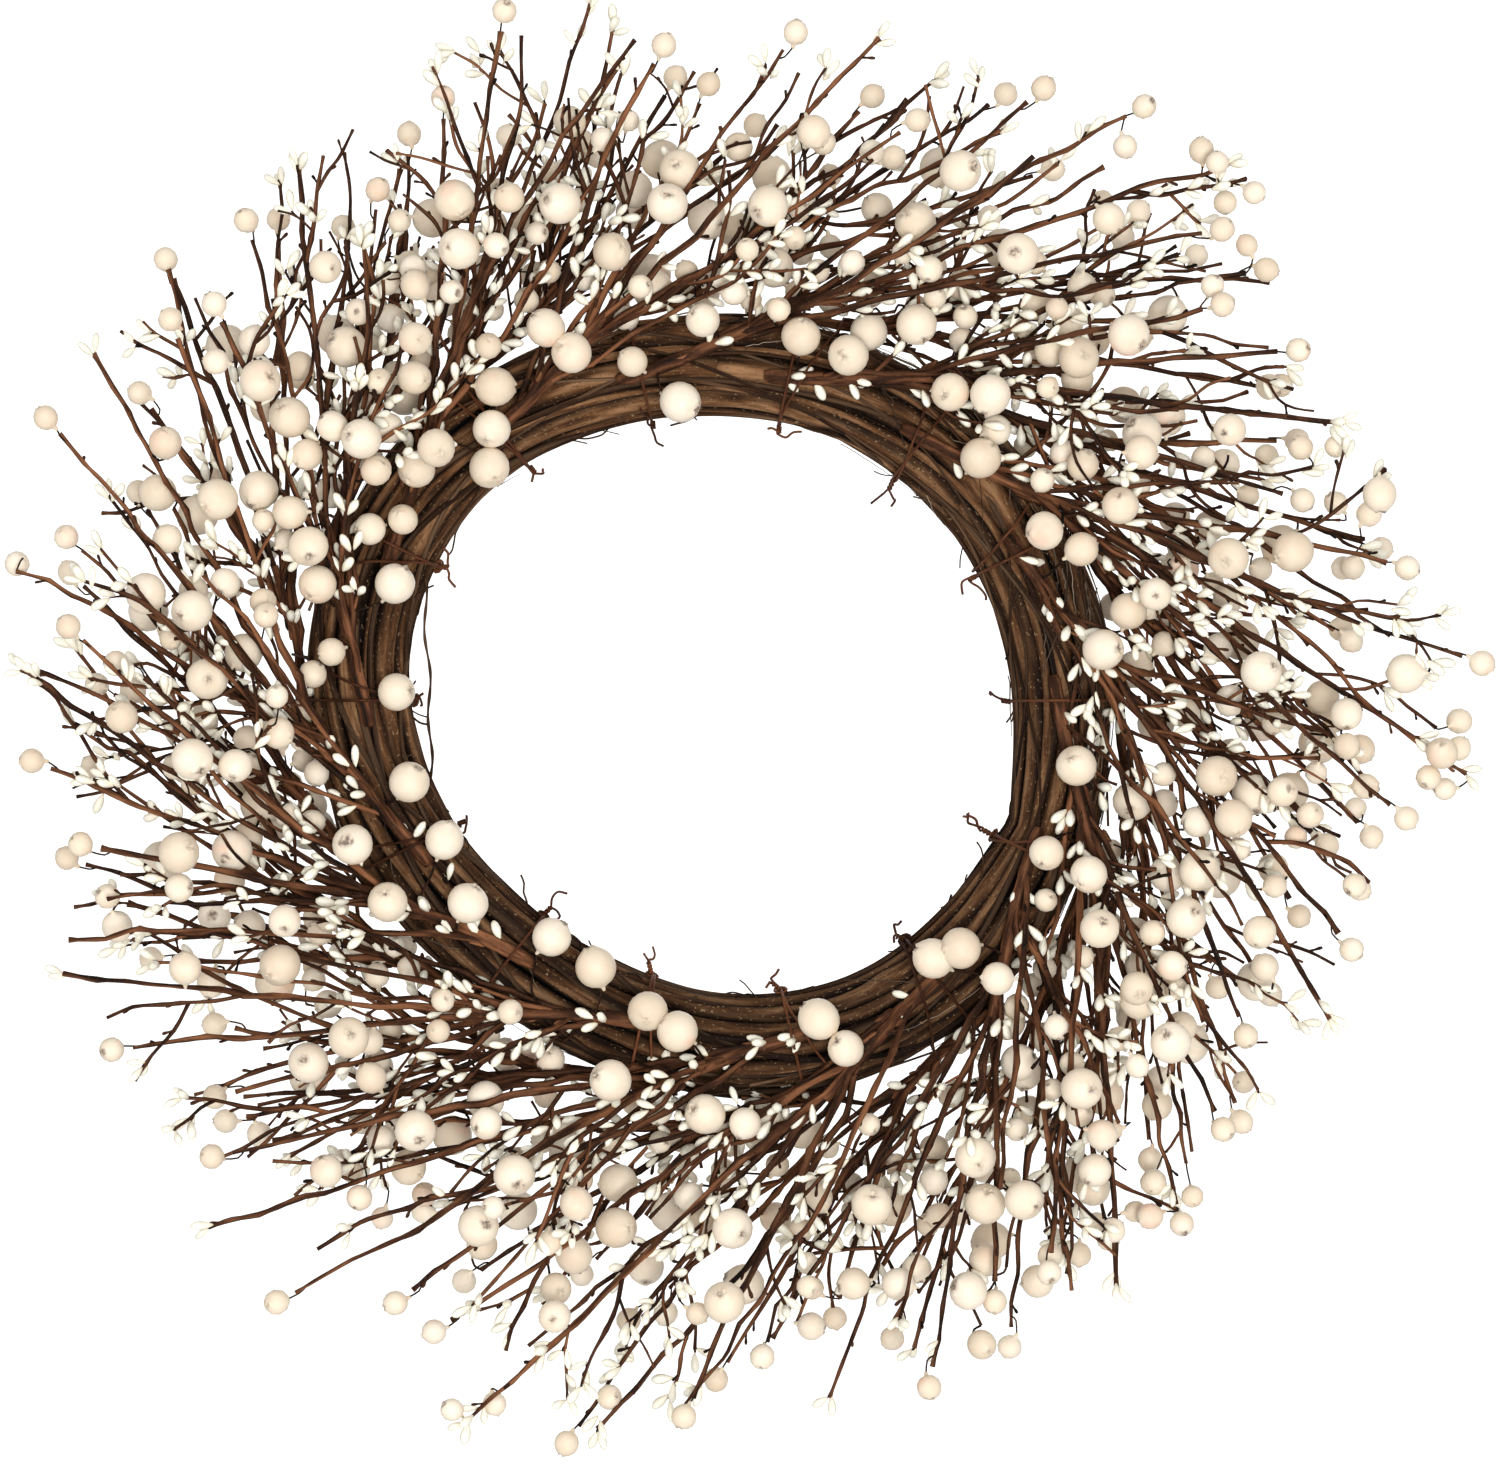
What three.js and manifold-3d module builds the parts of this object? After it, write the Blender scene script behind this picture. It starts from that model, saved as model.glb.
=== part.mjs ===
import * as THREE from "three";
import { mergeVertices } from "three/addons/utils/BufferGeometryUtils.js";
import Module from "manifold-3d";

// A berry wreath that hangs on a hook: a ring of bundled vine canes, and sprays of paper-wrapped
// wire stems with cream berries, tied on in pairs so that they swirl clockwise round the hole.
// Millimetres, +Z up, the front faces -Y. The origin is the underside of the ring's top, where the
// hook bears. "clock" is an angle round the ring in degrees, clockwise from the top as seen from the
// front, and "forward" is a distance towards the viewer from the ring's middle plane.

// The vine ring: thick canes laid side by side round a core cane, with thin runners in the grooves.
const RING_RADIUS = 133;
const CANE_COUNT = 7;
const CANE_RADIUS = 6.2;
const THIN_CANE_RADIUS = 6;
const CANE_SIDES = 5;
const BUNDLE_RADIUS = 20;
const CORE_RADIUS = 8.4;
const RUNNER_RADIUS = 2.2;
const RUNNER_LAY_RADIUS = 17.8;
const RUNNER_SLOTS = [0, 2, 5];
const END_GAP_SHARE = 0.08;

// The pairs of sprays, and the wire tie that binds each pair to the ring.
const PAIR_COUNT = 14;
const PAIR_STEP = 360 / PAIR_COUNT;
const STATIONS = 2 * PAIR_COUNT;
const STATION_STEP = 360 / STATIONS;
const FRONT_SEAT_ANGLE = 98;
const WIRE_RADIUS = 0.7;
const CLEARANCE = 0.35;
const TIE_SIDES = 3;
const TIE_RADIUS = 21.6;
const TIE_CREST_RADIUS = 26.1;
const TIE_STEPS = 14;
const TWIST_STEP = 3;
const BACK_STEM_STEP = 10;
const TWISTED_END_RADIUS = 1.5;
const TWISTED_END_LENGTH = 9;

// Stems and berries.
const MAIN_STEM_RADIUS = 2.25;
const MAIN_STEM_SIDES = 4;
const BRANCH_RADIUS = 1.15;
const BRANCH_STEPS = 3;
const STALK_RADIUS = 0.6;
const STALK_LENGTH = 3;
const LARGE_BERRY = 15.6;
const MEDIUM_BERRY = 12.4;
const SMALL_BERRY = 9.6;
const BALL_SWELL = 1.08;
const INNER_BERRY_RISE = 10.8;
const INNER_BERRY_LOW = 25.3;
const PIP_LENGTH = 8;
const PIP_WIDTH = 3.4;
const PIPS_IN_TUFT = 2;
const WIGGLE = 1.6;

// The real ring isn't quite round: it is a little oval along a slanted diameter and a little
// three-sided, and its hole has a corner at the lower right. Sizes are how far outwards a place lies
// at most, clocks are where, and each fade goes from full to none between two radii.
const OVAL_SIZE = 4.8;
const OVAL_CLOCK = 121;
const THREE_SIDED_SIZE = 2.1;
const THREE_SIDED_CLOCK = 41;
const SHAPE_FADE = [150, 270];
const CORNER_SIZE = 5;
const CORNER_CLOCK = 112;
const CORNER_WIDTH = 9;
const CORNER_FADE = [113, 133];

const HALF_STEP = THREE.MathUtils.degToRad(PAIR_STEP / 2);

// Each layer of sprays keeps between two depths and, like every straight line tangent to one circle,
// inside the wedge between its neighbours' lines, so that no two sprays cross. A point of a main
// stem is [along the spray's line, outwards from the ring's centre, forward]; the tie crosses the
// second point. A branch starts at a place on its main stem and ends at a share of the reach, which
// is how far the outermost berry is from the ring's centre, spray by spray clockwise from the top.
// An inner berry hangs over the ring: [degrees past its spray's tie, distance from the centre of the
// finished wreath].
const FRONT = {
  name: "front",
  tangentRadius: 128,
  forwardRange: [9.4, 76],
  mainStem: [
    [12.3, 128, 22.15],
    [21.8, 128, 22.15],
    [46, 128, 23.1],
    [84, 130, 26.5],
  ],
  branches: [
    { start: 2.45, tilt: -16, share: 0.92, tip: "berry", berries: [[LARGE_BERRY, 0.6, 30]] },
    { start: 2.9, tilt: -5, share: 1, tip: "pips", berries: [[MEDIUM_BERRY, 0.72, -50]] },
    { start: 2.8, tilt: 6, share: 1, tip: "berry", berries: [[LARGE_BERRY, 0.4, 15]] },
    { start: 2.6, tilt: 17, share: 0.93, tip: "berry", berries: [[LARGE_BERRY, 0.7, -25]] },
  ],
  tipForward: [20, 56, 36, 70, 44],
  reach: [262, 290, 262, 272, 274, 291, 281, 267, 266, 276, 258, 272, 258, 284],
  innerBerries: [
    [8.3, 140],
    [9.1, 136],
    [18.3, 148],
    [10.3, 139],
    [19.5, 132],
    [20.5, 127],
    [19.3, 126],
    [11.2, 111],
    [12, 121],
    [10.7, 120],
    [20, 129],
    [20.2, 123],
    [16.2, 142],
    [6.2, 114],
  ],
};
const BACK = {
  name: "back",
  tangentRadius: 136,
  forwardRange: [-23, 8.4],
  mainStem: [
    [44.2, 149.1, -1.95],
    [54.6, 145.2, -1.95],
    [76, 138.2, -2.8],
    [105, 136.5, -4.5],
  ],
  branches: [
    { start: 2.2, tilt: -19, share: 0.93, tip: "berry", berries: [[MEDIUM_BERRY, 0.55, 120]] },
    { start: 2.9, tilt: 0, share: 1, tip: "berry", berries: [[LARGE_BERRY, 0.7, -100]] },
    { start: 2.5, tilt: 19, share: 0.93, tip: "berry", berries: [[LARGE_BERRY, 0.45, 60]] },
  ],
  tipForward: [-15, 1, -9, -2, -17],
  reach: [274, 269, 263, 266, 280, 266, 250, 254, 264, 260, 276, 254, 246, 266],
};

const innerRadius = RING_RADIUS - BUNDLE_RADIUS;
const seatRise = innerRadius + outwardShift(0, innerRadius);

const wasm = await Module();
wasm.setup();

const barkMaterial = new THREE.MeshStandardMaterial({ color: 0x66482f, roughness: 0.9, metalness: 0 });
const runnerMaterial = new THREE.MeshStandardMaterial({ color: 0x4a3322, roughness: 0.95, metalness: 0 });
const wireMaterial = new THREE.MeshStandardMaterial({ color: 0x4b3021, roughness: 0.6, metalness: 0.2 });
const sprayMaterial = new THREE.MeshStandardMaterial({ color: 0xe9d9bd, roughness: 0.6, metalness: 0 });

// A repeatable number from 0 to 1 for each pair of whole numbers.
function noise(a, b) {
  const wave = Math.sin(a * 127.1 + b * 311.7 + 5.3) * 43758.5453;
  return wave - Math.floor(wave);
}

function between(low, high, share) {
  return low + (high - low) * share;
}

function fadeOut(radius, [start, end]) {
  return 1 - THREE.MathUtils.smoothstep(radius, start, end);
}

// How far outwards a place of the round wreath lies on the real one.
function outwardShift(clock, radius) {
  const toRadians = THREE.MathUtils.degToRad;
  const oval = OVAL_SIZE * Math.cos(2 * toRadians(clock - OVAL_CLOCK));
  const threeSided = THREE_SIDED_SIZE * Math.cos(3 * toRadians(clock - THREE_SIDED_CLOCK));
  const fromCorner = Math.abs(THREE.MathUtils.euclideanModulo(clock - CORNER_CLOCK + 180, 360) - 180);
  const corner = CORNER_SIZE * Math.exp(-fromCorner / CORNER_WIDTH) * fadeOut(radius, CORNER_FADE);
  return (oval + threeSided) * fadeOut(radius, SHAPE_FADE) + corner;
}

// A curve through equally counted points, so that an extrusion's steps fall on them exactly.
class SampledPath extends THREE.Curve {
  constructor(points) {
    super();
    this.points = points;
  }

  getPointAt(share, target = new THREE.Vector3()) {
    const place = share * (this.points.length - 1);
    const index = Math.min(Math.floor(place + 1e-6), this.points.length - 2);
    return target.lerpVectors(this.points[index], this.points[index + 1], place - index);
  }

  getTangentAt(share, target = new THREE.Vector3()) {
    const last = this.points.length - 1;
    const index = Math.round(share * last);
    const before = this.points[Math.max(index - 1, 0)];
    const after = this.points[Math.min(index + 1, last)];
    return target.subVectors(after, before).normalize();
  }
}

function toSolid(geometry) {
  const bare = new THREE.BufferGeometry();
  bare.setAttribute("position", geometry.getAttribute("position"));
  if (geometry.index) bare.setIndex(geometry.index);
  const merged = mergeVertices(bare, 1e-4);
  return new wasm.Manifold(
    new wasm.Mesh({
      numProp: 3,
      vertProperties: merged.getAttribute("position").array,
      triVerts: new Uint32Array(merged.index.array),
    }),
  );
}

function toGeometry(solid) {
  const mesh = solid.getMesh();
  const geometry = new THREE.BufferGeometry();
  geometry.setAttribute("position", new THREE.BufferAttribute(new Float32Array(mesh.vertProperties), 3));
  geometry.setIndex(new THREE.BufferAttribute(new Uint32Array(mesh.triVerts), 1));
  geometry.computeVertexNormals();
  return geometry;
}

function fuse(solids) {
  return solids.reduce((joined, solid) => joined.add(solid));
}

function tubeGeometry(points, radius, sides) {
  const section = new THREE.Shape();
  for (let side = 0; side < sides; side += 1) {
    const angle = (2 * Math.PI * side) / sides;
    const corner = [radius * Math.cos(angle), radius * Math.sin(angle)];
    if (side === 0) section.moveTo(...corner);
    else section.lineTo(...corner);
  }
  section.closePath();
  return new THREE.ExtrudeGeometry(section, {
    steps: points.length - 1,
    bevelEnabled: false,
    extrudePath: new SampledPath(points),
  });
}

function tube(points, radius, sides) {
  return toSolid(tubeGeometry(points, radius, sides));
}

function ball(centre, diameter) {
  const geometry = new THREE.IcosahedronGeometry((BALL_SWELL * diameter) / 2, 0);
  return toSolid(geometry.translate(centre.x, centre.y, centre.z));
}

// A point of the ring's bundle: how far round, and where in the round section.
function inBundle(clock, sectionRadius, sectionAngle) {
  const turn = THREE.MathUtils.degToRad(clock);
  const slant = THREE.MathUtils.degToRad(sectionAngle);
  const radius = RING_RADIUS + sectionRadius * Math.cos(slant);
  const forward = sectionRadius * Math.sin(slant);
  return new THREE.Vector3(radius * Math.sin(turn), -forward, radius * Math.cos(turn) - seatRise);
}

// One strand of the ring, from its own first station nearly all the way round to it again.
function strand(slot, layRadius, radius, sides, firstStation) {
  const sectionAngle = FRONT_SEAT_ANGLE + (slot * 360) / CANE_COUNT;
  const points = [];
  for (let step = 0; step <= STATIONS; step += 1) {
    points.push(inBundle((firstStation + step) * STATION_STEP, layRadius, sectionAngle));
  }
  points[STATIONS].lerp(points[STATIONS - 1], END_GAP_SHARE);
  return tubeGeometry(points, radius, sides);
}

function addMesh(parent, name, geometry, material) {
  const mesh = new THREE.Mesh(geometry, material);
  mesh.name = name;
  parent.add(mesh);
}

function addRing(parent) {
  const core = strand(0, 0, CORE_RADIUS, CANE_SIDES, STATIONS / 2);
  addMesh(parent, "core_cane", core, barkMaterial);
  for (let slot = 0; slot < CANE_COUNT; slot += 1) {
    const radius = slot % 3 === 1 ? THIN_CANE_RADIUS : CANE_RADIUS;
    const first = (slot * STATIONS) / CANE_COUNT;
    const cane = strand(slot, BUNDLE_RADIUS - radius, radius, CANE_SIDES, first);
    addMesh(parent, `cane_${slot + 1}`, cane, barkMaterial);
  }
  for (const [index, slot] of RUNNER_SLOTS.entries()) {
    const first = (slot * STATIONS) / CANE_COUNT + 2;
    const runner = strand(slot + 0.5, RUNNER_LAY_RADIUS, RUNNER_RADIUS, 3, first);
    addMesh(parent, `runner_${index + 1}`, runner, runnerMaterial);
  }
}

function tieClock(pair) {
  return (pair + 0.5) * PAIR_STEP;
}

// A wire round the bundle and over the two stems it binds, its ends twisted at the ring's inside.
function tieGeometry() {
  const points = [];
  for (let count = 0; count <= TIE_STEPS; count += 1) {
    const step = (TWIST_STEP + count) % TIE_STEPS;
    const radius = step === 0 || step === BACK_STEM_STEP ? TIE_CREST_RADIUS : TIE_RADIUS;
    points.push(inBundle(0, radius, FRONT_SEAT_ANGLE + (step * 360) / TIE_STEPS));
  }
  points[TIE_STEPS].lerp(points[TIE_STEPS - 1], 0.12);
  const twistAngle = FRONT_SEAT_ANGLE + (TWIST_STEP * 360) / TIE_STEPS;
  const root = inBundle(0, TIE_RADIUS, twistAngle);
  const end = inBundle(1.5, TIE_RADIUS + TWISTED_END_LENGTH, twistAngle - 8);
  const wire = tube(points, WIRE_RADIUS, TIE_SIDES);
  return toGeometry(wire.add(tube([root, end], TWISTED_END_RADIUS, 4)));
}

// A point in a spray's own frame: along its tangent line, outwards from the ring's centre, forward.
function inSpray(along, out, forward) {
  return new THREE.Vector3(along, -forward, out);
}

// Moves a berry's centre back inside its layer's two depths and its spray's wedge.
function keepInside(layer, centre, radius) {
  const [low, high] = layer.forwardRange;
  const margin = radius * BALL_SWELL + CLEARANCE;
  const forward = THREE.MathUtils.clamp(-centre.y, low + margin, high - margin);
  const middle = layer.tangentRadius / Math.cos(HALF_STEP);
  const room = Math.max(centre.x * Math.tan(HALF_STEP) - margin / Math.cos(HALF_STEP), 0);
  const out = THREE.MathUtils.clamp(centre.z, middle - room, middle + room);
  return inSpray(centre.x, out, forward);
}

// A place on a path, counted in points from its start.
function placeOn(points, place) {
  const index = Math.min(Math.floor(place), points.length - 2);
  return points[index].clone().lerp(points[index + 1], place - index);
}

// How far along a slanted line from a point the given distance from the ring's centre is met.
function lengthToRadius(from, slant, radius) {
  const ahead = from.x * Math.cos(slant) + from.z * Math.sin(slant);
  return Math.sqrt(ahead ** 2 - from.x ** 2 - from.z ** 2 + radius ** 2) - ahead;
}

function branchPoints(layer, spray, branch) {
  const mainPath = layer.mainStem.map((point) => inSpray(...point));
  const fork = mainPath[mainPath.length - 1];
  const { start, tilt, share } = layer.branches[branch];
  const slant = THREE.MathUtils.degToRad(tilt + between(-1.5, 1.5, noise(spray, branch)));
  const length = lengthToRadius(fork, slant, (layer.reach[spray] - SMALL_BERRY / 2) * share);
  const forward = layer.tipForward[(branch + spray) % layer.tipForward.length];
  const tip = inSpray(fork.x + length * Math.cos(slant), fork.z + length * Math.sin(slant), forward);
  const root = placeOn(mainPath, start);
  const points = [root];
  for (let step = 1; step <= BRANCH_STEPS; step += 1) {
    const point = root.clone().lerp(tip, step / BRANCH_STEPS);
    if (step < BRANCH_STEPS) {
      point.z += WIGGLE * between(-1, 1, noise(spray + 31, branch * 9 + step));
      point.y += WIGGLE * between(-1, 1, noise(spray + 57, branch * 9 + step));
    }
    points.push(keepInside(layer, point, BRANCH_RADIUS));
  }
  return points;
}

function pip(root, direction) {
  const geometry = new THREE.OctahedronGeometry(1, 0);
  geometry.scale(PIP_WIDTH / 2, PIP_LENGTH / 2, PIP_WIDTH / 2);
  const turn = new THREE.Quaternion().setFromUnitVectors(new THREE.Vector3(0, 1, 0), direction);
  geometry.applyQuaternion(turn);
  const centre = root.clone().addScaledVector(direction, PIP_LENGTH / 2 - 1.2);
  return toSolid(geometry.translate(centre.x, centre.y, centre.z));
}

// Two pips spread like a V at the end of a twig.
function tuft(tip, along) {
  const solids = [];
  for (let count = 0; count < PIPS_IN_TUFT; count += 1) {
    const lean = count === 0 ? -0.45 : 0.45;
    const direction = along.clone().add(new THREE.Vector3(0, lean * 0.4, lean)).normalize();
    solids.push(pip(tip, direction));
  }
  return solids;
}

// A berry on a short stalk beside a branch: slant 0 is forward, 90 degrees is outwards.
function sideBerry(layer, points, diameter, share, slant) {
  const root = placeOn(points, share * (points.length - 1));
  const turn = THREE.MathUtils.degToRad(slant);
  const offset = inSpray(0, Math.sin(turn), Math.cos(turn)).multiplyScalar(diameter / 2 + STALK_LENGTH);
  const centre = keepInside(layer, root.clone().add(offset), diameter / 2);
  return [ball(centre, diameter), tube([root, centre], STALK_RADIUS, 3)];
}

// A berry on a stalk from the thick stem, over the ring: lower where it is nearer the ring's inside.
function innerBerry(spray) {
  const mainPath = FRONT.mainStem.map((point) => inSpray(...point));
  const [pastTie, finishedRadius] = FRONT.innerBerries[spray];
  const radius = finishedRadius - outwardShift(tieClock(spray) + pastTie, finishedRadius);
  const turn = THREE.MathUtils.degToRad(pastTie) + Math.atan2(mainPath[1].x, mainPath[1].z);
  const along = radius * Math.sin(turn);
  const next = mainPath.findIndex((point) => point.x > along);
  const share = (along - mainPath[next - 1].x) / (mainPath[next].x - mainPath[next - 1].x);
  const root = placeOn(mainPath, next - 1 + share);
  const forward = Math.min(INNER_BERRY_RISE - root.y, INNER_BERRY_LOW + 0.65 * (radius - innerRadius));
  const centre = inSpray(along, radius * Math.cos(turn), forward);
  return [ball(centre, LARGE_BERRY), tube([root, centre], STALK_RADIUS, 3)];
}

function sprayGeometry(layer, spray) {
  const mainPath = layer.mainStem.map((point) => inSpray(...point));
  const solids = [tube(mainPath, MAIN_STEM_RADIUS, MAIN_STEM_SIDES)];
  for (const [index, branch] of layer.branches.entries()) {
    const points = branchPoints(layer, spray, index);
    const tip = points[BRANCH_STEPS];
    solids.push(tube(points, BRANCH_RADIUS, 3));
    if (branch.tip === "berry") {
      solids.push(ball(keepInside(layer, tip, SMALL_BERRY / 2), SMALL_BERRY));
    } else {
      solids.push(...tuft(tip, tip.clone().sub(points[BRANCH_STEPS - 1]).normalize()));
    }
    for (const [diameter, share, slant] of branch.berries) {
      solids.push(...sideBerry(layer, points, diameter, share, slant));
    }
  }
  if (layer === FRONT) solids.push(...innerBerry(spray));
  return toGeometry(fuse(solids));
}

function addPairs(parent) {
  for (let pair = 0; pair < PAIR_COUNT; pair += 1) {
    const clock = tieClock(pair);
    const tie = new THREE.Group();
    tie.rotation.y = THREE.MathUtils.degToRad(clock);
    addMesh(tie, `tie_${pair + 1}`, tieGeometry(), wireMaterial);
    tie.children[0].position.z = seatRise;
    for (const layer of [FRONT, BACK]) {
      const [along, out] = layer.mainStem[1];
      const spray = new THREE.Group();
      spray.rotation.y = THREE.MathUtils.degToRad(clock) - Math.atan2(along, out);
      addMesh(spray, `${layer.name}_spray_${pair + 1}`, sprayGeometry(layer, pair), sprayMaterial);
      spray.position.z = -seatRise;
      parent.add(spray);
    }
    tie.position.z = -seatRise;
    parent.add(tie);
  }
}

// Moves every point of a geometry of the round wreath to its place on the real one.
function ease(geometry) {
  const positions = geometry.getAttribute("position");
  for (let index = 0; index < positions.count; index += 1) {
    const x = positions.getX(index);
    const up = positions.getZ(index) + seatRise;
    const radius = Math.hypot(x, up);
    const clock = THREE.MathUtils.radToDeg(Math.atan2(x, up));
    const stretch = 1 + outwardShift(clock, radius) / radius;
    positions.setX(index, x * stretch);
    positions.setZ(index, up * stretch - seatRise);
  }
  geometry.computeVertexNormals();
  return geometry;
}

function easedWreath() {
  const round = new THREE.Group();
  addRing(round);
  addPairs(round);
  round.updateMatrixWorld(true);
  const wreath = new THREE.Group();
  round.traverse((part) => {
    if (!part.isMesh) return;
    const geometry = ease(part.geometry.clone().applyMatrix4(part.matrixWorld));
    addMesh(wreath, part.name, geometry, part.material);
  });
  return wreath;
}

export default easedWreath();
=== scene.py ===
import bpy
import random
from math import atan2, cos, degrees, hypot, inf, pi, radians, sin, sqrt, tan
from types import SimpleNamespace
import numpy as np
from numpy.linalg import norm
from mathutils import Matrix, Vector, kdtree


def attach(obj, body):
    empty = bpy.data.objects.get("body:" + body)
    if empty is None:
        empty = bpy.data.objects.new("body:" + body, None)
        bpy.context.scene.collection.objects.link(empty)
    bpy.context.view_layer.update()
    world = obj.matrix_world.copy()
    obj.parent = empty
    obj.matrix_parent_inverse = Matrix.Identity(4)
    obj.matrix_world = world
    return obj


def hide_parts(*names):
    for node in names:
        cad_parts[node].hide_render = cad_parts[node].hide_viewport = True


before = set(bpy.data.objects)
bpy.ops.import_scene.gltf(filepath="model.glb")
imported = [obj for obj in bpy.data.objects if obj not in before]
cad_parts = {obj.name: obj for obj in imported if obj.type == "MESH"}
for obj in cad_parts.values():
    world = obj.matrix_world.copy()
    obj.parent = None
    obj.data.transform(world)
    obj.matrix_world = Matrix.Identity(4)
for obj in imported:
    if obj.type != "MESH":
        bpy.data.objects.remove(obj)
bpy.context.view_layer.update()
scene = bpy.context.scene

# Looks of a berry wreath on a vine ring. Every length is in millimetres in the frame of the CAD
# solids until a mesh is made; "clock" is degrees round the ring, clockwise from the top as seen
# from the front, and "forward" is a distance towards the viewer from the ring's middle plane.
MM = 0.001
FULL_TURN = 2 * pi
FORWARD = np.array([0, -1, 0])

# The ring and its wire ties, as in the solids.
RING_RADIUS = 133
BUNDLE_RADIUS = 20
INNER_RADIUS = RING_RADIUS - BUNDLE_RADIUS
CANE_COUNT = 7
PAIR_COUNT = 14
PAIR_STEP = 360 / PAIR_COUNT
HALF_STEP = radians(PAIR_STEP / 2)
STATION_STEP = PAIR_STEP / 2
STATIONS_PER_CANE = 2 * PAIR_COUNT / CANE_COUNT
RUNNER_SLOTS = (0, 2, 5)
FRONT_SEAT_ANGLE = 98
TIE_STEPS = 14
TWIST_STEP = 3
TWIST_ANGLE = FRONT_SEAT_ANGLE + TWIST_STEP * 360 / TIE_STEPS
BACK_STEM_STEP = 10
TIE_RADIUS = 21.6
TIE_CREST_RADIUS = 26.1
WIRE_RADIUS = 0.7

# The real ring isn't quite round, as in the solids: a little oval along a slanted diameter, a little
# three-sided, and with a corner at the lower right of its hole. Sizes are how far outwards a place
# lies at most, clocks are where, and each fade goes from full to none between two radii.
OVAL_SIZE = 4.8
OVAL_CLOCK = 121
THREE_SIDED_SIZE = 2.1
THREE_SIDED_CLOCK = 41
SHAPE_FADE = (150, 270)
CORNER_SIZE = 5
CORNER_CLOCK = 112
CORNER_WIDTH = 9
CORNER_FADE = (113, 133)

# Stems and berries, as in the solids. A branch starts at a place on the thick stem, tilts, and goes
# out to a share of the spray's reach. Its tip bears a berry or pips, and another berry, of a given
# diameter, stands beside it at a share of its length, at an angle round it.
BRANCH_RADIUS = 1.15
BRANCH_STEPS = 3
STALK_LENGTH = 3
LARGE_BERRY = 15.6
MEDIUM_BERRY = 12.4
SMALL_BERRY = 9.6
BALL_SWELL = 1.08
CLEARANCE = 0.35
WIGGLE = 1.6
FRONT = SimpleNamespace(
    name="front",
    tangent_radius=128,
    forward_range=(9.4, 76),
    main_stem=[(12.3, 128, 22.15), (21.8, 128, 22.15), (46, 128, 23.1), (84, 130, 26.5)],
    branches=[
        (2.45, -16, 0.92, "berry", LARGE_BERRY, 0.6, 30),
        (2.9, -5, 1, "pips", MEDIUM_BERRY, 0.72, -50),
        (2.8, 6, 1, "berry", LARGE_BERRY, 0.4, 15),
        (2.6, 17, 0.93, "berry", LARGE_BERRY, 0.7, -25),
    ],
    tip_forward=[20, 56, 36, 70, 44],
    reach=[262, 290, 262, 272, 274, 291, 281, 267, 266, 276, 258, 272, 258, 284],
    limbs=6,
    limb_clock=(28, 63),
    looks_range=(1, 75),
    pit_forward=0.3,
)
BACK = SimpleNamespace(
    name="back",
    tangent_radius=136,
    forward_range=(-23, 8.4),
    main_stem=[(44.2, 149.1, -1.95), (54.6, 145.2, -1.95), (76, 138.2, -2.8), (105, 136.5, -4.5)],
    branches=[
        (2.2, -19, 0.93, "berry", MEDIUM_BERRY, 0.55, 120),
        (2.9, 0, 1, "berry", LARGE_BERRY, 0.7, -100),
        (2.5, 19, 0.93, "berry", LARGE_BERRY, 0.45, 60),
    ],
    tip_forward=[-15, 1, -9, -2, -17],
    reach=[274, 269, 263, 266, 280, 266, 250, 254, 264, 260, 276, 254, 246, 266],
    limbs=5,
    limb_clock=(24, 57),
    looks_range=(-22, 16),
    pit_forward=-0.1,
)

# The berries of the solids that hang over the ring: (degrees past the spray's tie, distance from the
# ring's centre). More of them, where the photograph has them: (clock, distance, diameter).
INNER_BERRY_RISE = 10.8
INNER_BERRY_LOW = 25.3
INNER_BERRIES = [
    (8.3, 140), (9.1, 136), (18.3, 148), (10.3, 139), (19.5, 132), (20.5, 127), (19.3, 126),
    (11.2, 111), (12, 121), (10.7, 120), (20, 129), (20.2, 123), (16.2, 142), (6.2, 114),
]
MORE_INNER_BERRIES = [
    (13.3, 141.5, 15), (37.4, 146.5, 14.6), (56.1, 149.3, 9.4), (62.8, 140, 14.6), (67.6, 150, 13),
    (114.7, 138, 13.2), (139.8, 128, 15.2), (159.4, 140.7, 13.8), (192.2, 120.4, 15.2),
    (214.6, 109.2, 15.2), (242.7, 115.5, 14.6), (271.5, 120.9, 14.6), (277.2, 146.3, 10.8),
    (296.4, 145.9, 12.4), (300.1, 136.6, 11.6), (307.8, 142.8, 14.4), (320.6, 133, 14.6),
    (335.6, 154.5, 14.6), (346.3, 132, 11.6), (358.2, 143.9, 13),
]

# How many berries and how many tufts of pips each zone still wants, by its outer radius, and the
# odds of a large, a medium and a small berry there.
ZONES = [
    SimpleNamespace(outer=outer, berries=berries, tufts=tufts, odds=odds)
    for outer, berries, tufts, odds in (
        (153, 39, 100, (0.4, 0.4, 0.2)),
        (175, 132, 206, (0.42, 0.33, 0.25)),
        (200, 168, 232, (0.34, 0.33, 0.33)),
        (225, 144, 158, (0.22, 0.33, 0.45)),
        (250, 96, 92, (0.1, 0.3, 0.6)),
        (275, 56, 52, (0.03, 0.22, 0.75)),
        (300, 20, 14, (0, 0.15, 0.85)),
        (inf, 0, 0, (0, 0, 1)),
    )
]

draw = random.Random(41)
uniform = draw.uniform


def noise(a, b):
    """A repeatable number from 0 to 1 for each pair of whole numbers, as in the solids."""
    return sin(a * 127.1 + b * 311.7 + 5.3) * 43758.5453 % 1


def between(low, high, share):
    return low + (high - low) * share


def unit(vector):
    vector = np.asarray(vector, float)
    return vector / max(norm(vector), 1e-9)


def random_unit():
    return unit([draw.gauss(0, 1) for _ in range(3)])


def across(way, hint):
    """Two directions square to a way and to each other."""
    side = unit(np.cross(way, hint))
    return side, np.cross(way, side)


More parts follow.
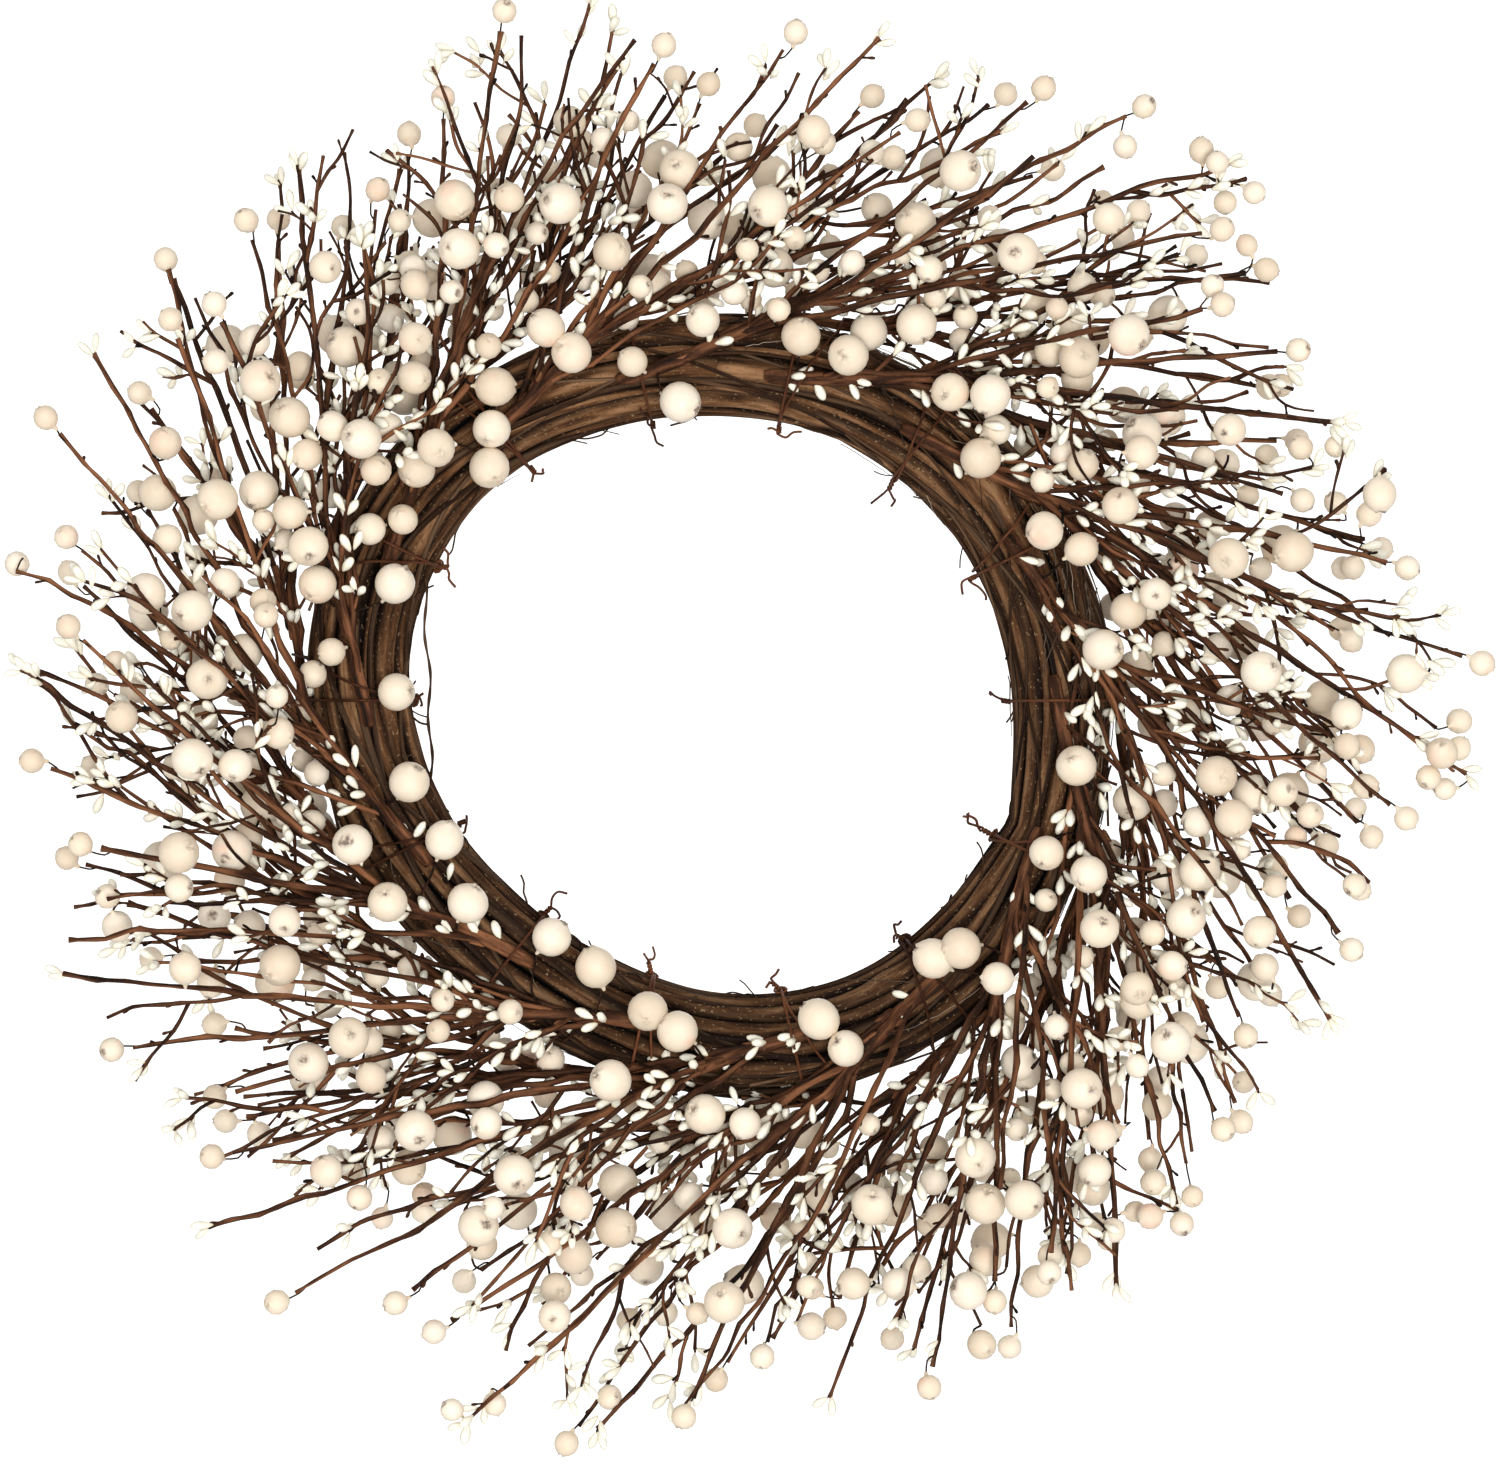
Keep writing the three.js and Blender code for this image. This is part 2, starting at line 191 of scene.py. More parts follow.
def circled(side, other, angle):
    return side * cos(angle) + other * sin(angle)


# Places in the wreath.


def smooth_step(value, start, end):
    t = np.clip((value - start) / (end - start), 0, 1)
    return t * t * (3 - 2 * t)


def outward_shift(clock, radius):
    """How far outwards a place of the round wreath lies on the real one."""
    oval = OVAL_SIZE * np.cos(2 * np.radians(clock - OVAL_CLOCK))
    three_sided = THREE_SIDED_SIZE * np.cos(3 * np.radians(clock - THREE_SIDED_CLOCK))
    from_corner = np.abs((clock - CORNER_CLOCK + 180) % 360 - 180)
    corner = CORNER_SIZE * np.exp(-from_corner / CORNER_WIDTH) * (1 - smooth_step(radius, *CORNER_FADE))
    return (oval + three_sided) * (1 - smooth_step(radius, *SHAPE_FADE)) + corner


SEAT_RISE = INNER_RADIUS + outward_shift(0, INNER_RADIUS)


def eased(points):
    """Points of the round wreath in their places on the real one."""
    up = points[:, 2] + SEAT_RISE
    radius = np.hypot(points[:, 0], up)
    stretch = 1 + outward_shift(np.degrees(np.arctan2(points[:, 0], up)), radius) / radius
    return np.stack([points[:, 0] * stretch, points[:, 1], up * stretch - SEAT_RISE], 1)


def in_bundle(clock, section_radius, section_angle):
    """A point of the ring's bundle: how far round, and where in the round section."""
    turn = np.radians(clock)
    slant = np.radians(section_angle)
    radius = RING_RADIUS + section_radius * np.cos(slant)
    forward = section_radius * np.sin(slant)
    return np.stack([radius * np.sin(turn), -forward, radius * np.cos(turn) - SEAT_RISE], -1)


def polar(point):
    """Clock in degrees, distance from the ring's centre and forward distance of a point."""
    up = point[2] + SEAT_RISE
    return degrees(atan2(point[0], up)), hypot(point[0], up), -point[1]


def from_polar(clock, radius, forward):
    turn = radians(clock)
    return np.array([radius * sin(turn), -forward, radius * cos(turn) - SEAT_RISE])


def in_spray(along, out, forward):
    """A point in a spray's own frame: along its line, outwards from the ring's centre, forward."""
    return np.array([along, -forward, out], float)


def keep_inside(layer, centre, radius):
    """Moves a point back inside its layer's two depths and its spray's wedge."""
    low, high = layer.forward_range
    margin = radius * BALL_SWELL + CLEARANCE
    forward = min(max(-centre[1], low + margin), high - margin)
    middle = layer.tangent_radius / cos(HALF_STEP)
    room = max(centre[0] * tan(HALF_STEP) - margin / cos(HALF_STEP), 0)
    out = min(max(centre[2], middle - room), middle + room)
    return in_spray(centre[0], out, forward)


def length_to_radius(start, slant, radius):
    """How far along a slanted line from a point the given distance from the centre is met."""
    ahead = start[0] * cos(slant) + start[2] * sin(slant)
    return sqrt(ahead**2 - start[0] ** 2 - start[2] ** 2 + radius**2) - ahead


def place_on(points, place):
    index = min(int(place), len(points) - 2)
    return points[index] + (points[index + 1] - points[index]) * (place - index)


# Meshes.


def add_object(name, data):
    thing = bpy.data.objects.new(name, data)
    scene.collection.objects.link(thing)
    return thing


class Pieces:
    """The points, faces and per-point values of one mesh, laid out on the round wreath and eased
    into the real one. A solid with a centre moves with it and keeps its shape."""

    def __init__(self):
        self.parts, self.faces, self.count = [], [], 0

    def add(self, points, faces, grain, tone, centre=None):
        moved = eased(points) if centre is None else points + eased(centre[None]) - centre
        self.parts.append((points, moved, grain, np.full(len(points), tone)))
        for block in faces:
            self.faces += (block + self.count).tolist()
        self.count += len(points)

    def build(self, name, material, shade=None):
        round_points, points, grain, tone = (np.concatenate(values) for values in zip(*self.parts))
        mesh = bpy.data.meshes.new(name)
        mesh.from_pydata(points * MM, [], self.faces)
        mesh.shade_smooth()
        mesh.validate()
        shades = shade(round_points) if shade else np.ones(len(points))
        for label, values in (("grain", grain), ("tone", tone), ("shade", shades)):
            kind, field = ("FLOAT_VECTOR", "vector") if values.ndim > 1 else ("FLOAT", "value")
            attribute = mesh.attributes.new(label, kind, "POINT")
            attribute.data.foreach_set(field, values.astype(np.float32).ravel())
        mesh.materials.append(material)
        return add_object(name, mesh)


def finish_piece(piece, slot, *nodes):
    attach(piece, "root")
    if nodes:
        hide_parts(*nodes)


def skin(rings, sides):
    """Faces that join rings of points in turn, and that close both ends to a point each."""
    count = rings * sides
    index = np.arange(count).reshape(rings, sides)
    around = np.roll(index, -1, axis=1)
    quads = np.stack([index[:-1], around[:-1], around[1:], index[1:]], -1).reshape(-1, 4)
    start_cap = np.stack([np.full(sides, count), around[0], index[0]], -1)
    end_cap = np.stack([np.full(sides, count + 1), index[-1], around[-1]], -1)
    return [quads, start_cap, end_cap]


def distances(path):
    """How far along a path each of its points is."""
    steps = norm(np.diff(path, axis=0), axis=1)
    return np.concatenate([[0], np.cumsum(steps)])


def smooth_path(points, spacing):
    """A smooth curve through the points, with stations about the given spacing apart."""
    points = np.asarray(points, float)
    ends = np.vstack([2 * points[0] - points[1], points, 2 * points[-1] - points[-2]])
    out = []
    for i in range(len(points) - 1):
        a, b, c, d = ends[i : i + 4]
        count = max(2, int(round(norm(c - b) / spacing)))
        t = (np.arange(count) / count)[:, None]
        square = 2 * a - 5 * b + 4 * c - d
        cube = 3 * b - a - 3 * c + d
        out.append(0.5 * (2 * b + (c - a) * t + square * t**2 + cube * t**3))
    return np.concatenate(out + [points[-1:]])


def kinked(path, knot_gap, size):
    """The path with small random bends at knots, and the places of those knots along it."""
    along = distances(path)
    count = max(2, int(round(along[-1] / knot_gap)))
    knots = np.linspace(0, along[-1], count + 1)
    knots[1:-1] += [uniform(-0.25, 0.25) * knot_gap for _ in knots[1:-1]]
    offsets = np.array([random_unit() * size * uniform(0.3, 1) for _ in knots])
    offsets[[0, -1]] = 0
    shift = np.stack([np.interp(along, knots, offsets[:, k]) for k in range(3)], 1)
    return path + shift, knots[1:-1]


def tube(pieces, path, radii, sides, tone, flat=0, lean=0, up=(0.31, 0.87, 0.42), ridges=0):
    """A tube along a path, closed at both ends: flattened by a share, across a direction that leans
    from up, and with long ridges along it."""
    path = np.asarray(path, float)
    radii, lean = (np.broadcast_to(values, len(path))[:, None] for values in (radii, lean))
    tangents = np.gradient(path, axis=0)
    tangents /= norm(tangents, axis=1)[:, None] + 1e-12
    side = np.asarray(up, float)
    normals = np.empty_like(path)
    for i, tangent in enumerate(tangents):
        side = side - tangent * side.dot(tangent)
        side /= sqrt(side.dot(side)) + 1e-12
        normals[i] = side
    binormals = np.cross(tangents, normals)
    along = distances(path)
    angles = FULL_TURN * np.arange(sides) / sides
    section = 1 + flat * np.cos(2 * (angles - lean))
    if ridges:
        for waves in (3, 4, 5):
            phase = uniform(0, FULL_TURN) + 0.4 * np.sin(along / 47 + uniform(0, 6))
            section = section + ridges * np.sin(waves * angles + phase[:, None])
    c = np.cos(angles) * section * radii
    s = np.sin(angles) * section * radii
    rings = path[:, None] + c[..., None] * normals[:, None] + s[..., None] * binormals[:, None]
    grain = np.stack([np.broadcast_to(along[:, None], c.shape), c, s], -1)
    pieces.add(
        np.concatenate([rings.reshape(-1, 3), path[[0, -1]]]),
        skin(len(path), sides),
        np.concatenate([grain.reshape(-1, 3), [[0, 0, 0], [along[-1], 0, 0]]]),
        tone,
    )


def turned_solid(pieces, centre, axis, profile, sides, dents=0, ruffle=0):
    """A round solid about an axis, dented, and ruffled at its far end: profile rows are (height,
    radius, share), from end to end. The share and a random mark are its grain."""
    tone, mark = draw.random(), draw.random()
    axis = unit(axis)
    side, other = across(axis, [0.21, 0.93, 0.31])
    angles = uniform(0, FULL_TURN) + FULL_TURN * np.arange(sides) / sides
    phase = [uniform(0, 6.28) for _ in range(5)]
    outwards = np.cos(angles)[:, None] * side + np.sin(angles)[:, None] * other
    folds = np.sin(2 * angles + phase[2]) + 0.8 * np.sin(5 * angles + phase[3])
    folds = folds + 0.5 * np.sin(3 * angles + phase[4])
    rings = []
    for height, radius, share in profile[1:-1]:
        wave = 1 + dents * np.sin(2 * angles + phase[0]) * sin(3 * share + phase[1])
        crumple = ruffle * folds * max(0, (share - 0.9) / 0.1)
        ring = radius * wave * (1 + crumple)
        rings.append(centre + axis * height * (1 + 0.25 * crumple)[:, None] + ring[:, None] * outwards)
    tips = [centre + axis * profile[0][0], centre + axis * profile[-1][0]]
    shares = [share for _, _, share in profile]
    shares = [*np.repeat(shares[1:-1], sides), shares[0], shares[-1]]
    grain = np.array([[share, mark, 0] for share in shares])
    pieces.add(np.vstack(rings + tips), skin(len(rings), sides), grain, tone, centre)


def berry_profile(radius, rings):
    """A foam berry from the tail on its stalk to the crumpled pit at its far end."""
    half = radius * uniform(0.96, 1.05)
    pear = uniform(-0.01, 0.05)
    rows = [(-half - 1.7, 0, 0), (-half - 1.4, 0.6, 0.01), (-half - 0.2, 0.85, 0.03)]
    rows.append((-half * 0.97, radius * 0.22, 0.07))
    for i in range(1, rings):
        slant = radians(between(15, 163, i / rings))
        width = radius * sin(slant) * (1 - pear * cos(slant))
        rows.append((-half * cos(slant), width, between(0.08, 0.9, i / rings)))
    rim = radius * uniform(0.2, 0.33)
    rows += [(half * 0.97, rim, 0.94), (half * 1.02, rim * 0.72, 0.96), (half * 0.965, rim * 0.35, 0.98)]
    return rows + [(half * 0.93, 0, 1)]


# Materials.


def srgb(red, green, blue):
    """A colour given as 0 to 255 on the screen, as the shader wants it."""
    channels = [c / 255 for c in (red, green, blue)]
    linear = [c / 12.92 if c <= 0.04045 else ((c + 0.055) / 1.055) ** 2.4 for c in channels]
    return (*linear, 1)


class Surface:
    """A material, with short ways to add the nodes of its shader and to join them."""

    def __init__(self, name):
        self.material = bpy.data.materials.new(name)
        self.material.use_nodes = True
        self.tree = self.material.node_tree

    def feed(self, node, inputs):
        """Joins outputs of other nodes to a node's inputs, or sets those to plain values."""
        for name, value in inputs.items():
            if isinstance(value, bpy.types.NodeSocket):
                self.tree.links.new(value, node.inputs[name])
            else:
                node.inputs[name].default_value = value

    def add(self, kind, inputs, **settings):
        node = self.tree.nodes.new("ShaderNode" + kind)
        for name, value in settings.items():
            setattr(node, name, value)
        self.feed(node, inputs)
        return node

    def attribute(self, name, output="Fac"):
        return self.add("Attribute", {}, attribute_name=name).outputs[output]

    def noise(self, place, scale, detail=2):
        return self.add("TexNoise", {"Vector": place, "Scale": scale, "Detail": detail}).outputs["Fac"]

    def grain_noise(self, stretch, scale, detail):
        """Noise that follows a strand: stretched along it by the given factor."""
        spread = {0: (71, 37, 53), "Scale": self.attribute("tone")}
        offset = self.add("VectorMath", spread, operation="SCALE").outputs["Vector"]
        place = {0: self.attribute("grain", "Vector"), 1: (1 / stretch, 1, 1), 2: offset}
        place = self.add("VectorMath", place, operation="MULTIPLY_ADD").outputs["Vector"]
        return self.noise(place, scale, detail)

    def maths(self, operation, *values):
        """Arithmetic on outputs and plain numbers."""
        return self.add("Math", dict(enumerate(values)), operation=operation).outputs[0]

    def ramp(self, factor, *stops):
        """Colours at places along a factor; a number for a colour is a grey."""
        node = self.add("ValToRGB", {"Fac": factor})
        elements = node.color_ramp.elements
        while len(elements) < len(stops):
            elements.new(0.5)
        for element, (position, colour) in zip(elements, stops):
            element.position = position
            element.color = colour if isinstance(colour, tuple) else (colour, colour, colour, 1)
        return node.outputs["Color"]

    def mix(self, kind, factor, first, second):
        inputs = {0: factor, 6: first, 7: second}
        return self.add("Mix", inputs, data_type="RGBA", blend_type=kind).outputs[2]

    def bump(self, height, strength, distance, before=None):
        inputs = {"Height": height, "Strength": strength, "Distance": distance * MM}
        if before:
            inputs["Normal"] = before
        return self.add("Bump", inputs).outputs["Normal"]

    def finish(self, inputs):
        self.feed(self.tree.nodes["Principled BSDF"], inputs)
        return self.material


def strand_material(name, dark, middle, light, stretch, rough, crease, streak, specks):
    """Bark or wrapped paper: streaks and creases that run along each strand, with small pale specks and
    dark pits. On the ring's vines the shade attribute paints shade into the grooves between them and
    darkens them towards the ring's foot."""
    surface = Surface(name)
    ramp, mix = surface.ramp, surface.mix
    coarse = surface.grain_noise(stretch, 0.32, 6)
    fine = surface.grain_noise(stretch * 1.3, 1.3, 4)
    colour = ramp(coarse, (0.32, srgb(*dark)), (0.47, srgb(*middle)), (0.66, srgb(*light)))
    streaks = ramp(fine, (0.3, (0.3, 0.27, 0.25, 1)), (0.5, 1))
    colour = mix("MULTIPLY", streak, colour, streaks)
    tone = surface.attribute("tone")
    shades = ramp(tone, (0, (0.1, 0.09, 0.08, 1)), (0.35, (0.56, 0.53, 0.5, 1)), (1, 1.2))
    colour = mix("MULTIPLY", 1, colour, shades)
    # Painted shade from the shade attribute: darker in the grooves between the ring's vines, and towards
    # the ring's foot.
    groove_shade = ramp(surface.attribute("shade"), (0, (0.1, 0.085, 0.075, 1)), (1, 1))
    colour = mix("MULTIPLY", 1, colour, groove_shade)
    dots = surface.grain_noise(1.6, 1.1, 2)
    colour = mix("MIX", ramp(dots, (0.64, 0), (0.7, specks)), colour, srgb(152, 126, 94))
    colour = mix("MIX", ramp(dots, (0.3, specks), (0.36, 0)), colour, srgb(30, 17, 10))
    return surface.finish({
        "Base Color": colour,
        "Roughness": ramp(fine, (0.3, rough - 0.12), (0.7, rough + 0.06)),
        "Normal": surface.bump(fine, crease * 0.7, 0.35, surface.bump(coarse, crease, 0.9)),
        "Specular IOR Level": 0.15,
    })


def berry_material():
    """Cream foam: faint mottling, a blush on some, and a smudge round the pit and the tail."""
    surface = Surface("cream_berry")
    ramp, mix = surface.ramp, surface.mix
    tone = surface.attribute("tone")
    grain = surface.add("SeparateXYZ", {"Vector": surface.attribute("grain", "Vector")}).outputs
    share, mark = grain["X"], grain["Y"]
    place = surface.add("TexCoord", {}).outputs["Object"]
    mottle = surface.noise(place, 130, 4)
    colour = ramp(tone, (0, srgb(224, 208, 186)), (0.35, srgb(233, 219, 198)), (1, srgb(242, 231, 214)))
    patches = ramp(mottle, (0.35, (0.95, 0.91, 0.87, 1)), (0.6, 1))
    colour = mix("MULTIPLY", 0.8, colour, patches)
    blush_patch = ramp(surface.noise(place, 75), (0.52, 0), (0.72, 1))
    blush = surface.maths("MULTIPLY", blush_patch, ramp(mark, (0.68, 0), (0.9, 0.55)))
    colour = mix("MIX", blush, colour, srgb(236, 186, 160))
    edge = surface.maths("MULTIPLY_ADD", mottle, 0.2, share)
    smudge = ramp(surface.maths("SUBTRACT", edge, 0.07), (0.93, 0), (0.985, 0.4), (1, 0.85))
    pit = surface.maths("MULTIPLY", smudge, ramp(tone, (0.1, 0.35), (0.5, 1)))
    pit_stops = (0.38, srgb(84, 70, 60)), (0.5, srgb(142, 124, 108)), (0.64, srgb(206, 190, 168))
    colour = mix("MIX", pit, colour, ramp(surface.noise(place, 700), *pit_stops))
    colour = mix("MIX", ramp(share, (0, 0.6), (0.05, 0)), colour, srgb(214, 190, 156))
    return surface.finish({
        "Base Color": colour,
        "Normal": surface.bump(surface.noise(place, 900, 3), 0.12, 0.3, surface.bump(mottle, 0.25, 1)),
        "Roughness": 0.52,
        "Subsurface Weight": 0.25,
        "Subsurface Radius": (1, 0.7, 0.5),
        "Subsurface Scale": 4 * MM,
        "Specular IOR Level": 0.3,
    })


def pip_material():
    """Ivory pips, a little glossy, greener and browner towards their roots."""
    surface = Surface("ivory_pip")
    grain = surface.add("SeparateXYZ", {"Vector": surface.attribute("grain", "Vector")}).outputs
    mottle = surface.noise(surface.add("TexCoord", {}).outputs["Object"], 420)
    pale = (0.14, srgb(246, 239, 220)), (0.85, srgb(252, 249, 236)), (1, srgb(240, 230, 206))
    body = surface.ramp(grain["X"], (0, srgb(206, 186, 146)), *pale)
    patches = surface.ramp(mottle, (0.3, (0.93, 0.92, 0.87, 1)), (0.62, 1))
    return surface.finish({
        "Base Color": surface.mix("MULTIPLY", 0.9, body, patches),
        "Normal": surface.bump(mottle, 0.15, 0.3),
        "Roughness": 0.4,
    })


# Rows are name, dark, middle and light colour, stretch, roughness, creases, streaks and specks.
bark, thin_bark, paper, fibre, wire = (strand_material(*row) for row in (
    ("vine_bark", (52, 31, 16), (98, 65, 39), (150, 112, 79), 8, 0.88, 0.9, 0.5, 0.7),
    ("thin_vine_bark", (22, 11, 5), (68, 44, 27), (126, 100, 77), 22, 0.9, 0.7, 0.4, 0.15),
    ("stem_paper", (20, 8, 2), (69, 39, 21), (134, 88, 59), 7, 0.78, 0.8, 0.4, 0.15),
    ("bark_fibre", (48, 36, 28), (96, 80, 66), (158, 142, 124), 12, 0.9, 0.3, 0.4, 0.15),
    ("tie_wire", (52, 28, 17), (84, 48, 29), (112, 68, 43), 10, 0.6, 0.3, 0.4, 0.15),
))
cream = berry_material()
ivory = pip_material()

# The camera: the photograph's scale at the middle of the wreath's depth, and where in the picture
# the ring's centre is.
PHOTO_WIDTH = 1500
PHOTO_HEIGHT = 1465
MM_PER_PIXEL = 0.38
RING_CENTRE_X = 715
RING_CENTRE_Y = 700.4
LENS = 120
SENSOR = 36
MIDDLE_FORWARD = 25

camera_data = bpy.data.cameras.new("camera")
camera_data.lens = LENS
camera_data.sensor_width = SENSOR
camera = add_object("camera", camera_data)
camera_distance = PHOTO_WIDTH * MM_PER_PIXEL * LENS / SENSOR
camera.location = (
    (PHOTO_WIDTH / 2 - RING_CENTRE_X) * MM_PER_PIXEL * MM,
    -(camera_distance + MIDDLE_FORWARD) * MM,
    (-SEAT_RISE - (PHOTO_HEIGHT / 2 - RING_CENTRE_Y) * MM_PER_PIXEL) * MM,
)
camera.rotation_euler = (radians(90), 0, 0)
scene.camera = camera

# The ring. Its strands sway together, and the two ends of each overlap and tuck in.
BUNDLE_SWAY = 8
SPLICE = 5
TUCK = 4.5
# Depths between the vines over which the painted groove shade goes from none to full.
GROOVE_SHADE_DEPTHS = (1.2, 3)
PALEST_CLOCK = 345
THICKEST_CLOCK = 20


def strand_path(slot_angle, lay_radius, first_station, stations, wobble, turns=0):
    """A strand laid round the ring's bundle, as in the solids, with small slow wanderings."""
    past_first = np.linspace(-SPLICE, 360 + SPLICE, stations)
    clock = first_station * STATION_STEP + past_first
    phases = [uniform(0, FULL_TURN) for _ in range(4)]
    turn = np.radians(clock)
    together = BUNDLE_SWAY * (np.sin(2 * turn + 0.6) + 0.6 * np.sin(3 * turn + 2.1))
    alone = wobble * (np.sin(3 * turn + phases[0]) + 0.7 * np.sin(7 * turn + phases[1]))
    swell = 0.3 * np.sin(5 * turn + phases[2]) + 0.25 * np.sin(11 * turn + phases[3])
    from_end = SPLICE + np.minimum(past_first, 360 - past_first)
    tucked = TUCK * np.exp(-from_end / (SPLICE / 2))
    angle = FRONT_SEAT_ANGLE + slot_angle + turns * (clock - STATION_STEP) + together + alone
    return in_bundle(clock, lay_radius + swell - tucked, angle)


def ring_shade(points):
    """How pale the ring's vines are: painted shade that darkens the grooves between them, and darker
    towards the ring's foot.
    """
    up = points[:, 2] + SEAT_RISE
    # Painted shade: the deeper a point lies between the vines, the darker it is painted.
    depth = BUNDLE_RADIUS - np.hypot(np.hypot(points[:, 0], up) - RING_RADIUS, points[:, 1])
    from_palest = np.arctan2(points[:, 0], up) - radians(PALEST_CLOCK)
    return (1 - smooth_step(depth, *GROOVE_SHADE_DEPTHS)) * (0.73 + 0.27 * np.cos(from_palest))


def bumpy(radii, amount):
    """A strand's radii along its length with slow swellings and a few knots added."""
    count = len(radii)
    t = np.linspace(0, 1, count)
    total = np.zeros(count)
    for waves in (5, 13, 29, 61):
        swelling = np.sin(FULL_TURN * waves * t + uniform(0, 6.28))
        total += swelling * uniform(0.4, 1) / sqrt(waves)
    knots = sum(0.15 * np.exp(-(((t - draw.random()) * count) ** 2) / 3) for _ in range(6))
    return radii * (1 + amount * total + knots)


def thicker_above(radius, swing, clock):
    """Radii of a strand that is thicker by a share at the top of the ring and thinner at its foot."""
    return radius * (1 + swing * np.cos(np.radians(clock - THICKEST_CLOCK)))


# Each cane of the solids is a thick and a thinner vine side by side, or two alike, over a third vine that
# closes the gap below them, painted dark as the shade in that gap. Rows are (angle round the bundle from
# the cane's own middle, radius, how much thicker it is above).
LAY_GAP = 1.2
VINE_STATIONS = 220
UNDER_STATIONS = 110
UNDER_LAY_RADIUS = 10.8
UNDER_RADIUS = 3.6
THICK_AND_THIN = ((-8.5, 4.5, 0.32), (17.2, 2.2, -0.38))
TWO_ALIKE = ((-13, 3.5, 0.24), (12.7, 3.05, -0.28))
for slot in range(CANE_COUNT):
    vines = Pieces()
    first = slot * STATIONS_PER_CANE
    slot_angle = slot * 360 / CANE_COUNT
    clock = first * STATION_STEP + np.linspace(-SPLICE, 360 + SPLICE, VINE_STATIONS)
    for offset, radius, swing in TWO_ALIKE if slot % 3 == 2 else THICK_AND_THIN:
        radii = thicker_above(radius, swing, clock)
        path = strand_path(slot_angle + offset, BUNDLE_RADIUS - radii - LAY_GAP, first, VINE_STATIONS, 1.9)
        tube(vines, path, bumpy(radii, 0.05), 12, uniform(0.65, 1), ridges=0.026)
    # The third vine: a dark tone all over, painted shade in the gap below the two.
    path = strand_path(slot_angle + 4, UNDER_LAY_RADIUS, first, UNDER_STATIONS, 1.5)
    tube(vines, path, bumpy(np.full(UNDER_STATIONS, UNDER_RADIUS), 0.05), 6, uniform(0, 0.2))
    finish_piece(vines.build(f"vines_{slot + 1}", bark, ring_shade), "vine_bark", f"cane_{slot + 1}")

# Thinner vines that run over the thick ones, some at a slant.
THIN_STATIONS = 200
for number, slot in enumerate(RUNNER_SLOTS, start=1):
    thin = Pieces()
    first = slot * STATIONS_PER_CANE
    clock = first * STATION_STEP + np.linspace(0, 360, THIN_STATIONS)
    for turns in (0, 1, -1, draw.choice((2, -2))):
        radius = uniform(0.7, 1.3) if turns else uniform(1.2, 1.7)
        angle = slot * 360 / CANE_COUNT + uniform(0, 120)
        path = strand_path(angle, BUNDLE_RADIUS - radius, first + 2, THIN_STATIONS, 7, turns)
        radii = thicker_above(radius, -0.25, clock)
        tube(thin, path, bumpy(radii, 0.12), 5, uniform(0.15, 1))
    finish_piece(thin.build(f"thin_vines_{number}", thin_bark, ring_shade), "thin_vine", f"runner_{number}")

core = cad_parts["core_cane"]
core.data.materials.clear()
core.data.materials.append(thin_bark)

# Silvery fibres that cross the bark at all slants, most of them on the outside at the upper right.
FIBRE_COUNT = 130
fibres = Pieces()
t = np.linspace(0, 1, 11)
for _ in range(FIBRE_COUNT):
    clock = draw.gauss(58, 24) if draw.random() < 0.72 else uniform(0, 360)
    section = draw.gauss(42, 20) if draw.random() < 0.9 else uniform(90, 190)
    span = uniform(5, 24)
    slant = draw.gauss(0, 2.4)
    lift = uniform(0, 0.9) * np.sin(pi * t) + uniform(0, 1.2) * t**3
    bends = np.array([uniform(-1.6, 1.6) for _ in t])
    path = in_bundle(clock + span * t, 19.8 + lift, section + slant * span * t + bends)
    tube(fibres, path, uniform(0.16, 0.36) * (1 - 0.5 * t), 4, draw.random())
finish_piece(fibres.build("bark_fibres", fibre), "thin_vine")

# Short dark rootlets at the ring's inner and outer edges, loose ends of thin vines at its outside,
# and a tendril that leaves its inside on the left and joins it again lower down.
ROOTLET_COUNT = 90
ROOTLET_START = 18.8
VINE_ENDS = 26
TENDRIL_CLOCKS = (293, 253)
TENDRIL_WAVES = 5
rootlets = Pieces()
for _ in range(ROOTLET_COUNT):
    clock = uniform(0, 360)
    section = draw.choice((draw.gauss(178, 16), draw.gauss(178, 16), draw.gauss(-5, 18)))
    start = in_bundle(clock, ROOTLET_START, section)
    away = unit(start - in_bundle(clock, 0, 0))
    ring_way = unit(in_bundle(clock + draw.choice((-2, 2)), ROOTLET_START, section) - start)
    heading = unit(ring_way + away * uniform(0.1, 0.5) + random_unit() * 0.3)
    points = [start]
    for _ in range(draw.choice((2, 3, 4))):
        heading = unit(heading + random_unit() * 0.45)
        points.append(points[-1] + heading * uniform(2, 4.5))
    tube(rootlets, smooth_path(points, 1.6), uniform(0.22, 0.5), 5, uniform(0, 0.5))
t = np.linspace(0, 1, 9)
for _ in range(VINE_ENDS):
    clock = uniform(0, 360)
    section = uniform(-10, 60)
    span = draw.choice((-1, 1)) * uniform(9, 20)
    path = in_bundle(clock + span * t, 18.6 + uniform(2, 9) * t**2, section + uniform(-12, 20) * t)
    tube(rootlets, smooth_path(path, 3), uniform(0.4, 0.85), 5, uniform(0.2, 0.9))
start, end = (in_bundle(clock, 19.6, 158) for clock in TENDRIL_CLOCKS)
t = np.linspace(0, 1, 25)
chord = start + (end - start) * t[:, None]
chord[:, 0] += 2.5 * np.sin(pi * t) + 0.8 * np.sin(TENDRIL_WAVES * pi * t + 0.7)
path = smooth_path(chord, 2.5)
tube(rootlets, path, 0.55 + 0.12 * np.sin(np.arange(len(path))), 6, 0.3)
finish_piece(rootlets.build("rootlets", thin_bark), "thin_vine")


# The wire ties.
COIL_TURNS = 2.6


